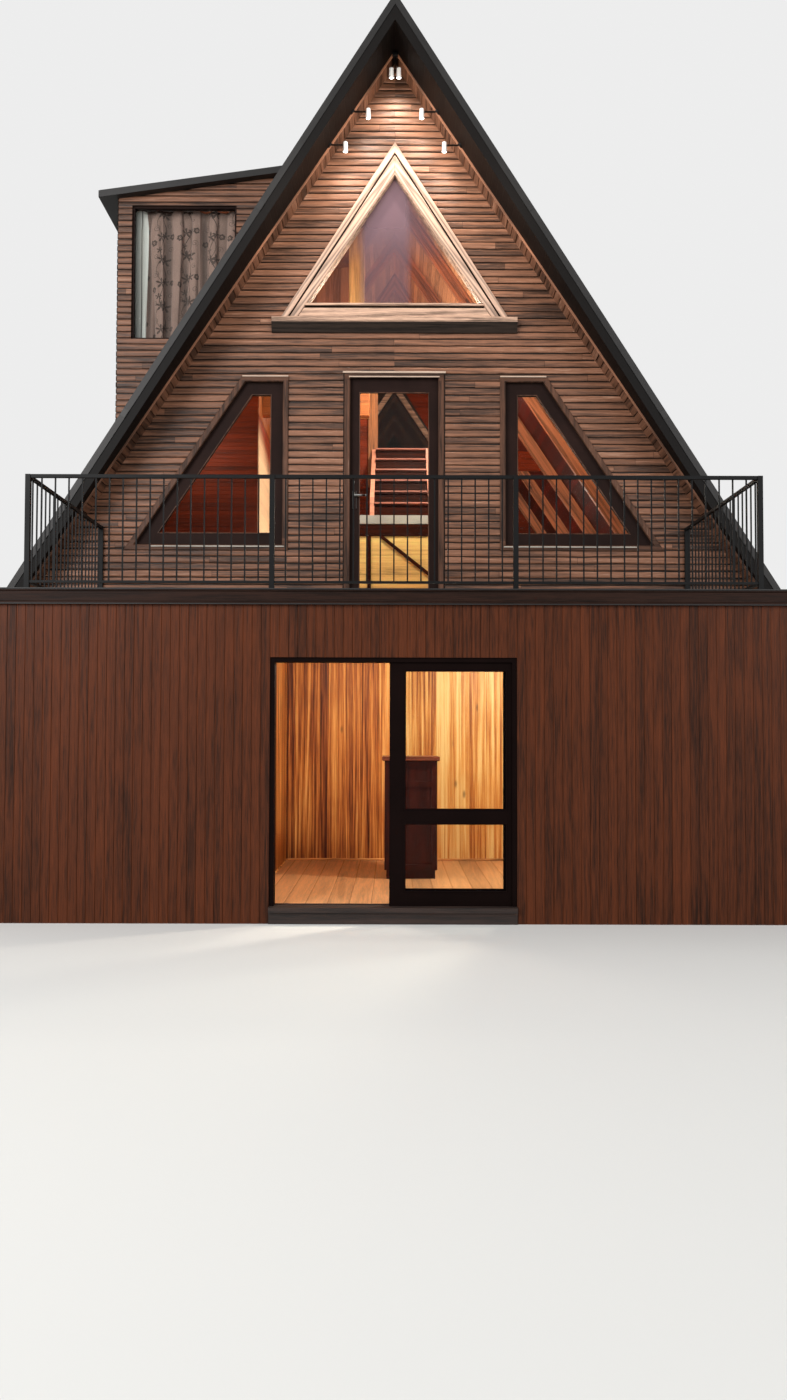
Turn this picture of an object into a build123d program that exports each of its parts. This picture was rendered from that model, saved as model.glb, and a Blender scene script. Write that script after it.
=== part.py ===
"""A-frame cabin: a flat-topped base storey with a railed terrace, and a steep gabled upper storey set back on it.

Millimetres. X runs to the right seen from the front, Y runs back and Z up. The ground is at Z = 0.
Everything is drawn with Y measured from the front face of the base storey, and moved at the end so that the
origin is under the middle of the whole cabin.
"""
import os
from math import cos, radians, tan

from build123d import *

os.makedirs("parts", exist_ok=True)

# Base storey
terrace_margin = 79
base_depth = 9600
base_wall = 150
base_wall_top = 2740
ground_floor_top = 148

# Doorway of the base storey
doorway_half_width = 1060
doorway_height = 2127
door_frame_face = 40
threshold_lip = 40
leaf_depth = 35
leaf_gap = 14
leaf_clearance = 8
meeting_stile = 127
side_stile = 42
leaf_top_rail = 67
leaf_bottom_rail = 118
mid_rail_lift = 708
mid_rail = 111
pane = 6
roller_clearance = 0.3
track_height = 10

# Room behind the doorway
room_left = -1260
room_depth = 3350
partition = 80
counter_left = -110
counter_right = 470
counter_front = 1700
counter_depth = 600
counter_height = 1238
counter_top = 40
counter_overhang = 22
counter_plinth = 90
counter_stile = 58
counter_drawer = 150
counter_recess = 14

# Terrace
slab = 120
fascia_depth = 30
rail_post_x = 1055
rail_corner_x = 3170
rail_post = 43
rail_bar = 30
rail_plate = 8
flange = 30
rail_height = 1000
low_rail_lift = 57
baluster = 12
baluster_pitch = 115
rail_setback = 20

# Upper storey
gable_y = 2350
gable_wall = 120
upper_floor_lift = 240
roof_pitch = 56.25
ridge_height = 6140
roof_thickness = 140
overhang_at_ridge = 750
overhang_at_foot = 280
verge_face = 55
verge_cover = 90
metal = 8
metal_seam = 0.2
rafter_width = 70
rafter_depth = 150
rafter_first = 1270
rafter_pitch = 1340
rafter_pairs = 5

# Balcony door
door_half_width = 481
door_height = 2403
door_stile = 99
door_top_rail = 149
door_bottom_rail = 80
door_leaf = 45
casing_face = 62
casing_proud = 30
casing_chamfer = 7
handle_height = 1110

# Side windows of the gable
side_glass_inner = 1341
side_glass_lift = 935
side_glass_height = 1530
side_glass_top_outer = 1555
side_frame_face = 128
side_frame_depth = 70

# Window under the ridge
peak_frame_drop = 1000
peak_frame_height = 1850
peak_frame_face = 147
peak_frame_proud = 40
peak_sill_height = 160
peak_sill_reach = 1338
peak_sill_proud = 75

# Loft, its stair and the boarded partitions under it
loft_height = 2400
loft_floor = 80
loft_front = 5400
left_room_front = 3400
left_room_right = -1620
landing_front = 3950
landing_back = 4750
landing_right = 1200
loft_right = landing_right
landing_height = 1220
landing_board = 50
stair_left = -300
stair_right = 480
stair_risers = 6
stair_going = 220
stringer = 50
tread = 35
nosing = 25
riser_board = 20

# Dormer on the left slope
dormer_front = 3750
dormer_back = 6550
dormer_side = 3400
dormer_wall = 100
dormer_eave_drop = 800
dormer_pitch = 8
dormer_roof = 80
dormer_reach = 220
dormer_lap = 120
dormer_cut_top = 500
dormer_window_outer = 3252
dormer_window_corner_gap = 45
dormer_window_height = 1705
dormer_window_head = 60
dormer_frame_face = 45
curtain_clearance = 60
curtain_thickness = 40

# Spot lamps
lamp_y = 2100
lamp_upper_x = 288
lamp_lower_x = 532
lamp_drop = 275
apex_lamp_drop = 260
apex_lamp_spread = 40
apex_block_height = 100
lamp_radius = 27
lamp_length = 95
lamp_tilt = 35
lamp_stem = 7
lamp_plate = 38
lamp_plate_depth = 30

# Derived levels
doorway_top = ground_floor_top + doorway_height
mid_rail_bottom = ground_floor_top + mid_rail_lift
mid_rail_top = mid_rail_bottom + mid_rail
terrace_top = base_wall_top + slab
upper_floor_top = terrace_top + upper_floor_lift
loft_top = upper_floor_top + loft_height
landing_top = upper_floor_top + landing_height
door_top = upper_floor_top + door_height
handle_z = upper_floor_top + handle_height
side_glass_bottom = terrace_top + side_glass_lift
side_glass_top = side_glass_bottom + side_glass_height
slope = tan(radians(roof_pitch))
under_ridge = terrace_top + ridge_height
roof_rise = roof_thickness / cos(radians(roof_pitch))
over_ridge = under_ridge + roof_rise
base_half_width = (over_ridge - terrace_top) / slope + terrace_margin
peak_frame_top = under_ridge - peak_frame_drop
peak_frame_bottom = peak_frame_top - peak_frame_height
dormer_eave_z = under_ridge - dormer_eave_drop
dormer_window_top = dormer_eave_z - dormer_window_head
dormer_window_bottom = dormer_window_top - dormer_window_height
dormer_window_inner = (over_ridge - dormer_window_bottom) / slope + dormer_window_corner_gap
rafter_drop = rafter_depth / cos(radians(roof_pitch))
lean = (overhang_at_ridge - overhang_at_foot) / (over_ridge - terrace_top)
rear_gable_y = base_depth - gable_wall


def block(x0, x1, y0, y1, z0, z1):
    """A plain box between two corners."""
    return Pos((x0 + x1) / 2, (y0 + y1) / 2, (z0 + z1) / 2) * Box(x1 - x0, y1 - y0, z1 - z0)


def facing(points, y0, y1):
    """An outline seen from the front, given as (x, z), carried back from y0 to y1."""
    corners = [Vector(x, y0, z) for x, z in points]
    face = make_face(Polyline(*corners, close=True).edges())
    return extrude(face, amount=y1 - y0, dir=(0, 1, 0))


def profile(points, x0, x1):
    """An outline seen from the side, given as (y, z), carried across from x0 to x1."""
    corners = [Vector(x0, y, z) for y, z in points]
    face = make_face(Polyline(*corners, close=True).edges())
    return extrude(face, amount=x1 - x0, dir=(1, 0, 0))


def plan(points, z0, z1):
    """An outline seen from above, given as (x, y), carried up from z0 to z1."""
    corners = [Vector(x, y, z0) for x, y in points]
    face = make_face(Polyline(*corners, close=True).edges())
    return extrude(face, amount=z1 - z0, dir=(0, 0, 1))


def join(pieces):
    """All pieces as one solid."""
    return pieces[0] + pieces[1:]


def flip(shape):
    """The same piece on the other side of the cabin."""
    return mirror(shape, about=Plane.YZ)


def reach(z, apex=under_ridge):
    """Half width under a slope that starts at this apex, at height z."""
    return (apex - z) / slope


def height(x, apex=under_ridge):
    """Height of the slope that starts at this apex, x away from the middle."""
    return apex - abs(x) * slope


# Base storey: floor, walls and roof slab
nodes = {}
nodes["ground_floor"] = block(
    -base_half_width + base_wall, base_half_width - base_wall, base_wall, base_depth - base_wall, 0, ground_floor_top
)
nodes["front_wall_left"] = block(-base_half_width, -doorway_half_width, 0, base_wall, 0, base_wall_top)
nodes["front_wall_right"] = flip(nodes["front_wall_left"])
nodes["front_wall_over_door"] = block(
    -doorway_half_width, doorway_half_width, 0, base_wall, doorway_top, base_wall_top
)
nodes["side_wall_left"] = block(
    -base_half_width, -base_half_width + base_wall, base_wall, base_depth - base_wall, 0, base_wall_top
)
nodes["side_wall_right"] = flip(nodes["side_wall_left"])
nodes["rear_wall"] = block(-base_half_width, base_half_width, base_depth - base_wall, base_depth, 0, base_wall_top)
nodes["terrace_slab"] = block(-base_half_width, base_half_width, 0, base_depth, base_wall_top, terrace_top)

# The fascia is a board with a dripping lower edge and a cap that laps the slab's front edge
fascia_outline = [
    (0, base_wall_top),
    (-fascia_depth * 0.6, base_wall_top),
    (-fascia_depth * 0.6, base_wall_top - 14),
    (-fascia_depth, base_wall_top - 14),
    (-fascia_depth, base_wall_top + 8),
    (-fascia_depth * 0.6, base_wall_top + 16),
    (-fascia_depth * 0.6, terrace_top - 22),
    (-fascia_depth, terrace_top - 16),
    (-fascia_depth, terrace_top + 6),
    (0, terrace_top),
]
nodes["terrace_fascia"] = profile(fascia_outline, -base_half_width, base_half_width)

# The room that shows through the doorway
nodes["room_partitions"] = plan(
    [
        (room_left - partition, base_wall),
        (room_left, base_wall),
        (room_left, room_depth),
        (base_half_width - base_wall, room_depth),
        (base_half_width - base_wall, room_depth + partition),
        (room_left - partition, room_depth + partition),
    ],
    ground_floor_top,
    base_wall_top,
)
counter_body = block(
    counter_left + counter_overhang,
    counter_right - counter_overhang,
    counter_front + counter_overhang,
    counter_front + counter_depth,
    ground_floor_top + counter_plinth,
    ground_floor_top + counter_height - counter_top,
)
counter_foot = block(
    counter_left + counter_overhang + 20,
    counter_right - counter_overhang - 20,
    counter_front + counter_overhang + 30,
    counter_front + counter_depth,
    ground_floor_top,
    ground_floor_top + counter_plinth,
)
counter_lid = block(
    counter_left,
    counter_right,
    counter_front,
    counter_front + counter_depth,
    ground_floor_top + counter_height - counter_top,
    ground_floor_top + counter_height,
)
counter_lid = chamfer(counter_lid.edges().filter_by(Axis.X).group_by(Axis.Y)[0], 6)
drawer_base = ground_floor_top + counter_height - counter_top - counter_stile - counter_drawer
door_base = ground_floor_top + counter_plinth + counter_stile
counter_recesses = [
    block(
        counter_left + counter_overhang + counter_stile,
        counter_right - counter_overhang - counter_stile,
        counter_front + counter_overhang,
        counter_front + counter_overhang + counter_recess,
        low,
        high,
    )
    for low, high in (
        (door_base, drawer_base - counter_stile),
        (drawer_base, drawer_base + counter_drawer),
    )
]
nodes["kitchen_counter"] = (counter_body + [counter_foot, counter_lid]) - counter_recesses

# Doorway: threshold, frame, one fixed leaf and one leaf that slides behind it
frame_front = 12
frame_back = base_wall - 12
clear_half_width = doorway_half_width - door_frame_face
clear_top = doorway_top - door_frame_face
fixed_leaf_y = frame_front + 20
sliding_leaf_y = fixed_leaf_y + leaf_depth + leaf_gap
track_y = sliding_leaf_y + leaf_depth / 2
frame_ring = block(
    -doorway_half_width, doorway_half_width, frame_front, frame_back, ground_floor_top, doorway_top
) - block(
    -clear_half_width, clear_half_width, frame_front - 1, frame_back + 1, ground_floor_top - 1, clear_top
)
nodes["door_frame"] = frame_ring
sill_board = profile(
    [
        (base_wall, 0),
        (-15, 0),
        (-15, ground_floor_top - 48),
        (-threshold_lip, ground_floor_top - 48),
        (-threshold_lip, ground_floor_top - 6),
        (0, ground_floor_top),
        (base_wall, ground_floor_top),
    ],
    -doorway_half_width,
    doorway_half_width,
)
track = block(
    -clear_half_width,
    clear_half_width,
    track_y - 4,
    track_y + 4,
    ground_floor_top,
    ground_floor_top + track_height,
)
nodes["door_sill"] = sill_board + track


def leaf(x0, x1, y0, z0, z1, stile_left, stile_right):
    """A glazed leaf with two stiles, three rails and the two panes between them."""
    y1 = y0 + leaf_depth
    body = block(x0, x1, y0, y1, z0, z1)
    glass = []
    for low, high in ((z0 + leaf_bottom_rail, mid_rail_bottom), (mid_rail_top, z1 - leaf_top_rail)):
        body = body - block(x0 + stile_left, x1 - stile_right, y0 - 1, y1 + 1, low, high)
        middle = y0 + leaf_depth / 2
        glass.append(
            block(x0 + stile_left, x1 - stile_right, middle - pane / 2, middle + pane / 2, low, high)
        )
    return body, glass


meeting_x = -33
fixed_leaf_body, fixed_leaf_panes = leaf(
    meeting_x, clear_half_width, fixed_leaf_y, ground_floor_top, clear_top, meeting_stile, side_stile
)
nodes["fixed_leaf"] = fixed_leaf_body

# The sliding leaf rests stacked behind the fixed one, so the doorway's left half is open
slide_left = meeting_x + 5
slide_right = clear_half_width - leaf_clearance
shoe_top = ground_floor_top + track_height + 12
sliding_body, sliding_panes = leaf(
    slide_left, slide_right, sliding_leaf_y, shoe_top, clear_top - leaf_clearance, meeting_stile, side_stile + 20
)
shoes = [
    block(
        x - 30,
        x + 30,
        track_y - 9,
        track_y + 9,
        ground_floor_top + track_height + roller_clearance,
        shoe_top,
    )
    for x in (slide_left + 160, slide_right - 160)
]
pull = block(
    slide_left + 30, slide_left + 54, sliding_leaf_y + leaf_depth, sliding_leaf_y + leaf_depth + 22, 1000, 1260
)
nodes["sliding_leaf"] = join([sliding_body, *shoes, pull])
nodes["sliding_leaf_glass"] = Compound(children=sliding_panes)


# Terrace railing
def railing(x0, x1, posts, stations, y):
    """A straight run of railing along X: posts, two rails, and balusters spread between the stations."""
    half = rail_post / 2
    top = terrace_top + rail_height
    low = terrace_top + low_rail_lift
    pieces = [block(x - half, x + half, y - half, y + half, terrace_top, top) for x in posts]
    pieces.extend(
        block(x - half - flange, x + half + flange, y - half, y + half, terrace_top, terrace_top + rail_plate)
        for x in posts[1:-1]
    )
    pieces.append(block(x0, x1, y - rail_bar / 2, y + rail_bar / 2, top - rail_bar, top))
    pieces.append(block(x0, x1, y - rail_bar / 2, y + rail_bar / 2, low, low + 20))
    for a, b in zip(stations, stations[1:]):
        count = round(abs(b - a) / baluster_pitch)
        for i in range(1, count):
            x = a + (b - a) * i / count
            pieces.append(
                block(x - baluster / 2, x + baluster / 2, y - baluster / 2, y + baluster / 2, low + 20, top - rail_bar)
            )
    return join(pieces)


rail_y = rail_setback + rail_post / 2
front_posts = [-rail_corner_x, -rail_post_x, rail_post_x, rail_corner_x]
nodes["railing_front"] = railing(-rail_corner_x, rail_corner_x, front_posts, front_posts, rail_y)
side_start = rail_y + rail_post / 2
end_post = gable_y - rail_post / 2
side_run = railing(side_start, end_post, [end_post], [rail_y, end_post], 0)
turned = Rot(0, 0, 90) * side_run
side_rail_left = Pos(-rail_corner_x, 0, 0) * turned
nodes["side_railings"] = Compound(children=[side_rail_left, flip(side_rail_left)])


# Roof: two slopes whose ends lean forward towards the ridge
def between_verges(x0, x1, front_out=0, back_out=0, z0=terrace_top, z1=over_ridge + 200):
    """Everything between the two leaning ends of the roof, moved outwards by the given amounts."""
    at_low = overhang_at_foot + lean * (z0 - terrace_top)
    at_high = overhang_at_foot + lean * (z1 - terrace_top)
    return profile(
        [
            (gable_y - at_low - front_out, z0),
            (gable_y - at_high - front_out, z1),
            (base_depth + at_high + back_out, z1),
            (base_depth + at_low + back_out, z0),
        ],
        x0,
        x1,
    )


def slope_layer(under, over, z0=terrace_top):
    """The right-hand slope between two parallel planes named by their heights over the middle."""
    outline = [(0, under), (0, over), (reach(z0, over), z0), (reach(z0, under), z0)]
    return facing(outline, gable_y - 1500, base_depth + 1500)


wide = base_half_width + 500
roof_right = slope_layer(under_ridge, over_ridge) & between_verges(-wide, wide)
nodes["roof_right"] = roof_right
dormer_inner_front = dormer_front + dormer_wall
dormer_inner_back = dormer_back - dormer_wall
dormer_inner_side = dormer_side - dormer_wall
dormer_shaft = block(
    -dormer_inner_side, -dormer_cut_top, dormer_inner_front, dormer_inner_back, upper_floor_top, over_ridge
)
nodes["roof_left"] = flip(roof_right) - dormer_shaft

# Metal verge strips: a face over each leaning end and a flange on the slope
metal_rise = metal / cos(radians(roof_pitch))
seam_rise = metal_seam / cos(radians(roof_pitch))
face_rise = verge_face / cos(radians(roof_pitch))
strip_under = over_ridge + seam_rise
strip_over = strip_under + metal_rise
ends_seam = between_verges(-wide, wide, metal_seam, metal_seam)
ends_face = between_verges(-wide, wide, metal, metal)
verge_face_layer = slope_layer(over_ridge - face_rise, strip_over) & (ends_face - ends_seam)
verge_flange_layer = slope_layer(strip_under, strip_over) & (
    ends_face - between_verges(-wide, wide, -verge_cover, -verge_cover)
)
verge_right = verge_face_layer + verge_flange_layer
nodes["verge_strips"] = Compound(children=[*verge_right.solids(), *flip(verge_right).solids()])

# The ridge cap sits on the slopes between the verge flanges
cap_reach = 150
cap_under = strip_under
cap_outline = [
    (0, cap_under),
    (cap_reach, height(cap_reach, cap_under)),
    (cap_reach, height(cap_reach, cap_under + metal_rise)),
    (0, cap_under + metal_rise),
    (-cap_reach, height(cap_reach, cap_under + metal_rise)),
    (-cap_reach, height(cap_reach, cap_under)),
]
nodes["ridge_cap"] = facing(cap_outline, gable_y - 1500, base_depth + 1500) & between_verges(
    -wide, wide, -verge_cover - metal_seam, -verge_cover - metal_seam
)

# Rafters: pairs under the slopes, cut away where the dormer opens the left slope
rafter_pieces = []
for i in range(rafter_pairs):
    y = gable_y + rafter_first + i * rafter_pitch
    outline = [
        (0, under_ridge),
        (reach(upper_floor_top), upper_floor_top),
        (reach(upper_floor_top, under_ridge - rafter_drop), upper_floor_top),
        (0, under_ridge - rafter_drop),
    ]
    right = facing(outline, y - rafter_width / 2, y + rafter_width / 2)
    left = flip(right)
    if dormer_front < y < dormer_back:
        left = left - dormer_shaft
    rafter_pieces.extend(right.solids())
    rafter_pieces.extend(left.solids())
nodes["rafters"] = Compound(children=rafter_pieces)

# Upper floor inside the gables, with the threshold of the balcony door
floor_inside = facing(
    [
        (-reach(terrace_top), terrace_top),
        (reach(terrace_top), terrace_top),
        (reach(upper_floor_top), upper_floor_top),
        (-reach(upper_floor_top), upper_floor_top),
    ],
    gable_y + gable_wall,
    rear_gable_y,
)
threshold = block(-door_half_width, door_half_width, gable_y, gable_y + gable_wall, terrace_top, upper_floor_top)
nodes["upper_floor"] = floor_inside + threshold

# Gable walls, with the balcony door and the two side windows cut through
side_glass_bottom_outer = side_glass_top_outer + (side_glass_top - side_glass_bottom) / slope
diagonal = side_frame_face / cos(radians(90 - roof_pitch))


def side_outline(grow):
    """The outline of a side window on the right, grown outwards from the glass."""
    top = side_glass_top + grow
    bottom = side_glass_bottom - grow
    along = side_glass_top_outer + grow / cos(radians(90 - roof_pitch)) - grow / slope
    return [
        (side_glass_inner - grow, bottom),
        (along + (top - bottom) / slope, bottom),
        (along, top),
        (side_glass_inner - grow, top),
    ]


wall_split = door_top
side_opening = facing(side_outline(side_frame_face), gable_y - 200, gable_y + gable_wall + 200)
gable_side = facing(
    [
        (door_half_width, terrace_top),
        (reach(terrace_top), terrace_top),
        (reach(wall_split), wall_split),
        (door_half_width, wall_split),
    ],
    gable_y,
    gable_y + gable_wall,
)
nodes["gable_wall_right"] = gable_side - side_opening
nodes["gable_wall_left"] = flip(nodes["gable_wall_right"])
peak_half_width = (peak_frame_top - peak_frame_bottom) / slope


def triangle(top, bottom, y0, y1):
    """An upright triangle with the roof's slope."""
    half = (top - bottom) / slope
    return facing([(-half, bottom), (half, bottom), (0, top)], y0, y1)


peak_glass_bottom = peak_frame_bottom + peak_frame_face
peak_glass_top = peak_frame_top - peak_frame_face / cos(radians(roof_pitch))
gable_top_outline = [
    (-reach(wall_split), wall_split),
    (reach(wall_split), wall_split),
    (0, under_ridge),
]
peak_core_bottom = peak_frame_bottom + 60
peak_core_top = peak_frame_top - 60 / cos(radians(roof_pitch))
nodes["gable_wall_top"] = facing(gable_top_outline, gable_y, gable_y + gable_wall) - triangle(
    peak_core_top, peak_core_bottom, gable_y - 1, gable_y + gable_wall + 1
)
nodes["rear_gable_wall"] = facing(
    [(-reach(terrace_top), terrace_top), (reach(terrace_top), terrace_top), (0, under_ridge)],
    rear_gable_y,
    base_depth,
) - triangle(peak_core_top, peak_core_bottom, rear_gable_y - 1, base_depth + 1)

# Casings that stand proud of the boards around the door and the side windows
casing_grow = side_frame_face + casing_face
casing_ring = facing(side_outline(casing_grow), gable_y - casing_proud, gable_y) - facing(
    side_outline(side_frame_face), gable_y - casing_proud - 1, gable_y + 1
)
casing_ring = chamfer(casing_ring.faces().sort_by(Axis.Y)[0].edges(), casing_chamfer)
door_casing = block(
    -door_half_width - casing_face,
    door_half_width + casing_face,
    gable_y - casing_proud,
    gable_y,
    terrace_top,
    door_top + casing_face,
) - block(-door_half_width, door_half_width, gable_y - casing_proud - 1, gable_y + 1, terrace_top - 1, door_top)
door_casing = chamfer(
    door_casing.faces().sort_by(Axis.Y)[0].edges().filter_by(lambda edge: edge.center().Z > terrace_top + 1),
    casing_chamfer,
)
nodes["opening_casings"] = Compound(children=[casing_ring, flip(casing_ring), door_casing])

# Frames of the side windows, with a sill block under each
frame_y = gable_y + 20
side_frame = facing(side_outline(side_frame_face), frame_y, frame_y + side_frame_depth) - facing(
    side_outline(0), frame_y - 1, frame_y + side_frame_depth + 1
)
pane_y = frame_y + side_frame_depth / 2
side_pane = facing(side_outline(0), pane_y - pane / 2, pane_y + pane / 2)


# Wide triangular frames with a rebate into the wall, on both gables
def peak_frame(wall_front, outwards):
    """A triangular frame that laps the wall's face and lines its opening."""
    face_y = wall_front + outwards * peak_frame_proud
    low, high = sorted((face_y, wall_front))
    lap = triangle(peak_frame_top, peak_frame_bottom, low, high)
    inner_y = wall_front - outwards * 80
    low_in, high_in = sorted((wall_front, inner_y))
    lining = triangle(peak_core_top, peak_core_bottom, low_in, high_in)
    everything = sorted((face_y, inner_y))
    opening = triangle(peak_glass_top, peak_glass_bottom, everything[0] - 1, everything[1] + 1)
    return (lap + lining) - opening


front_peak = peak_frame(gable_y, -1)
rear_peak = peak_frame(base_depth, 1)


def peak_sill(wall_front, outwards):
    """The projecting sill under a triangular frame, with a sloping top and a splayed underside."""
    reach_out = outwards * peak_sill_proud
    return profile(
        [
            (wall_front, peak_frame_bottom),
            (wall_front + outwards * peak_frame_proud, peak_frame_bottom),
            (wall_front + reach_out, peak_frame_bottom - 12),
            (wall_front + reach_out, peak_frame_bottom - 60),
            (wall_front + reach_out * 0.5, peak_frame_bottom - peak_sill_height),
            (wall_front, peak_frame_bottom - peak_sill_height),
        ],
        -peak_sill_reach,
        peak_sill_reach,
    )


nodes["peak_windows"] = Compound(
    children=[front_peak + peak_sill(gable_y, -1), rear_peak + peak_sill(base_depth, 1)]
)
front_peak_pane = triangle(peak_glass_top, peak_glass_bottom, gable_y + 30, gable_y + 30 + pane)
rear_peak_pane = triangle(peak_glass_top, peak_glass_bottom, base_depth - 30 - pane, base_depth - 30)

# Balcony door: a dark glazed leaf, shut
leaf_y = gable_y + 25
door_glass_side = door_half_width - door_stile
door_glass_bottom = upper_floor_top + door_bottom_rail
door_glass_top = door_top - door_top_rail
leaf_ring = block(
    -door_half_width, door_half_width, leaf_y, leaf_y + door_leaf, upper_floor_top, door_top
) - block(
    -door_glass_side, door_glass_side, leaf_y - 1, leaf_y + door_leaf + 1, door_glass_bottom, door_glass_top
)
handle_x = -door_half_width + door_stile / 2
handle_plate = block(handle_x - 18, handle_x + 18, leaf_y - 8, leaf_y, handle_z - 150, handle_z + 60)
handle_neck = Pos(handle_x, leaf_y - 30, handle_z) * Rot(90, 0, 0) * Cylinder(9, 44)
handle_lever = Pos(handle_x + 55, leaf_y - 48, handle_z) * Rot(0, 90, 0) * Cylinder(10, 130)
nodes["balcony_door"] = join([leaf_ring, handle_plate, handle_neck, handle_lever])
door_pane_y = leaf_y + door_leaf / 2
door_pane = block(
    -door_glass_side,
    door_glass_side,
    door_pane_y - pane / 2,
    door_pane_y + pane / 2,
    door_glass_bottom,
    door_glass_top,
)

# Dormer: three walls that stand on the left slope, a low shed roof and a window that faces the front
shed = tan(radians(dormer_pitch))


def shed_under(x):
    """Height of the shed roof's underside, x away from the middle."""
    return dormer_eave_z + (dormer_side - x) * shed


def shed_meets(lift):
    """Where the shed roof's underside, lifted by some amount, meets the main slope."""
    return (over_ridge - dormer_eave_z - dormer_side * shed - lift) / (slope - shed)


dormer_lift = dormer_roof / cos(radians(dormer_pitch))
under_x = shed_meets(0)
over_x = shed_meets(dormer_lift)
cheek_outline = [
    (-dormer_side, height(dormer_side, over_ridge)),
    (-under_x, height(under_x, over_ridge)),
    (-dormer_side, dormer_eave_z),
]
dormer_window_hole = block(
    -dormer_window_outer,
    -dormer_window_inner,
    dormer_front - 1,
    dormer_inner_front + 1,
    dormer_window_bottom,
    dormer_window_top,
)
nodes["dormer_front_wall"] = facing(cheek_outline, dormer_front, dormer_inner_front) - dormer_window_hole
nodes["dormer_rear_wall"] = facing(cheek_outline, dormer_inner_back, dormer_back)
nodes["dormer_side_wall"] = facing(
    [
        (-dormer_side, height(dormer_side, over_ridge)),
        (-dormer_inner_side, height(dormer_inner_side, over_ridge)),
        (-dormer_inner_side, shed_under(dormer_inner_side)),
        (-dormer_side, dormer_eave_z),
    ],
    dormer_inner_front,
    dormer_inner_back,
)
eave = dormer_side + dormer_reach
nodes["dormer_roof"] = facing(
    [
        (-eave, shed_under(eave)),
        (-under_x, shed_under(under_x)),
        (-over_x, shed_under(over_x) + dormer_lift),
        (-eave, shed_under(eave) + dormer_lift),
    ],
    dormer_front - dormer_lap,
    dormer_back + dormer_lap,
)
dormer_frame_y = dormer_front + 15
dormer_frame_depth = 60
dormer_frame = block(
    -dormer_window_outer,
    -dormer_window_inner,
    dormer_frame_y,
    dormer_frame_y + dormer_frame_depth,
    dormer_window_bottom,
    dormer_window_top,
) - block(
    -dormer_window_outer + dormer_frame_face,
    -dormer_window_inner - dormer_frame_face,
    dormer_frame_y - 1,
    dormer_frame_y + dormer_frame_depth + 1,
    dormer_window_bottom + dormer_frame_face,
    dormer_window_top - dormer_frame_face,
)
nodes["window_frames"] = Compound(children=[side_frame, flip(side_frame), dormer_frame])
dormer_pane = block(
    -dormer_window_outer + dormer_frame_face,
    -dormer_window_inner - dormer_frame_face,
    dormer_frame_y + 27,
    dormer_frame_y + 27 + pane,
    dormer_window_bottom + dormer_frame_face,
    dormer_window_top - dormer_frame_face,
)

# Curtain behind the dormer window, hung under a rod on two brackets
rod_radius = 11
rod_y = dormer_inner_front + curtain_clearance + curtain_thickness / 2
rod_z = dormer_window_top + 12
rod_left = -dormer_inner_side + 12
rod_right = -dormer_window_inner + 60
rod = Pos((rod_left + rod_right) / 2, rod_y, rod_z) * Rot(0, 90, 0) * Cylinder(rod_radius, rod_right - rod_left)
brackets = [
    block(x - 6, x + 6, dormer_inner_front, rod_y, rod_z - 6, rod_z + 6) for x in (rod_left + 30, rod_right - 30)
]
nodes["curtain_rod"] = join([rod, *brackets])
nodes["curtain"] = block(
    -dormer_inner_side + 25,
    -dormer_window_inner + 30,
    rod_y - curtain_thickness / 2,
    rod_y + curtain_thickness / 2,
    dormer_window_bottom - 80,
    rod_z - rod_radius - 0.3,
)

# All fixed panes of the two storeys
nodes["window_glass"] = Compound(
    children=[*fixed_leaf_panes, side_pane, flip(side_pane), front_peak_pane, rear_peak_pane, door_pane, dormer_pane]
)

# Loft floor: across the back to the landing's right end, with an arm on the left into the dormer
rafter_apex = under_ridge - rafter_drop
loft_under = loft_top - loft_floor
loft_outline = [
    (-reach(loft_under, rafter_apex), loft_under),
    (reach(loft_under, rafter_apex), loft_under),
    (reach(loft_top, rafter_apex), loft_top),
    (-reach(loft_top, rafter_apex), loft_top),
]
loft_back_full = facing(loft_outline, loft_front, rear_gable_y)
loft_back = loft_back_full & block(-5000, loft_right, loft_front, rear_gable_y, loft_under, loft_top)
loft_arm_full = facing(loft_outline, left_room_front, loft_front)
loft_arm = loft_arm_full & block(-5000, left_room_right, left_room_front, loft_front, loft_under, loft_top)
loft_bay = block(
    -dormer_inner_side, -reach(loft_top, rafter_apex), dormer_inner_front, dormer_inner_back, loft_under, loft_top
)
nodes["loft_floor"] = join([loft_back, loft_arm, loft_bay])

# Boarded partitions: the left room's two walls and the wall under the loft's front edge
room_front_wall = facing(
    [
        (-reach(upper_floor_top), upper_floor_top),
        (left_room_right, upper_floor_top),
        (left_room_right, loft_under),
        (-reach(loft_under), loft_under),
    ],
    left_room_front,
    left_room_front + partition,
)
room_side_wall = block(
    left_room_right - partition,
    left_room_right,
    left_room_front,
    loft_front,
    upper_floor_top,
    loft_under,
)
nodes["left_room_walls"] = room_front_wall + room_side_wall
nodes["loft_front_wall"] = facing(
    [
        (left_room_right - partition, upper_floor_top),
        (loft_right, upper_floor_top),
        (loft_right, loft_under),
        (left_room_right - partition, loft_under),
    ],
    loft_front,
    loft_front + partition,
)

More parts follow.
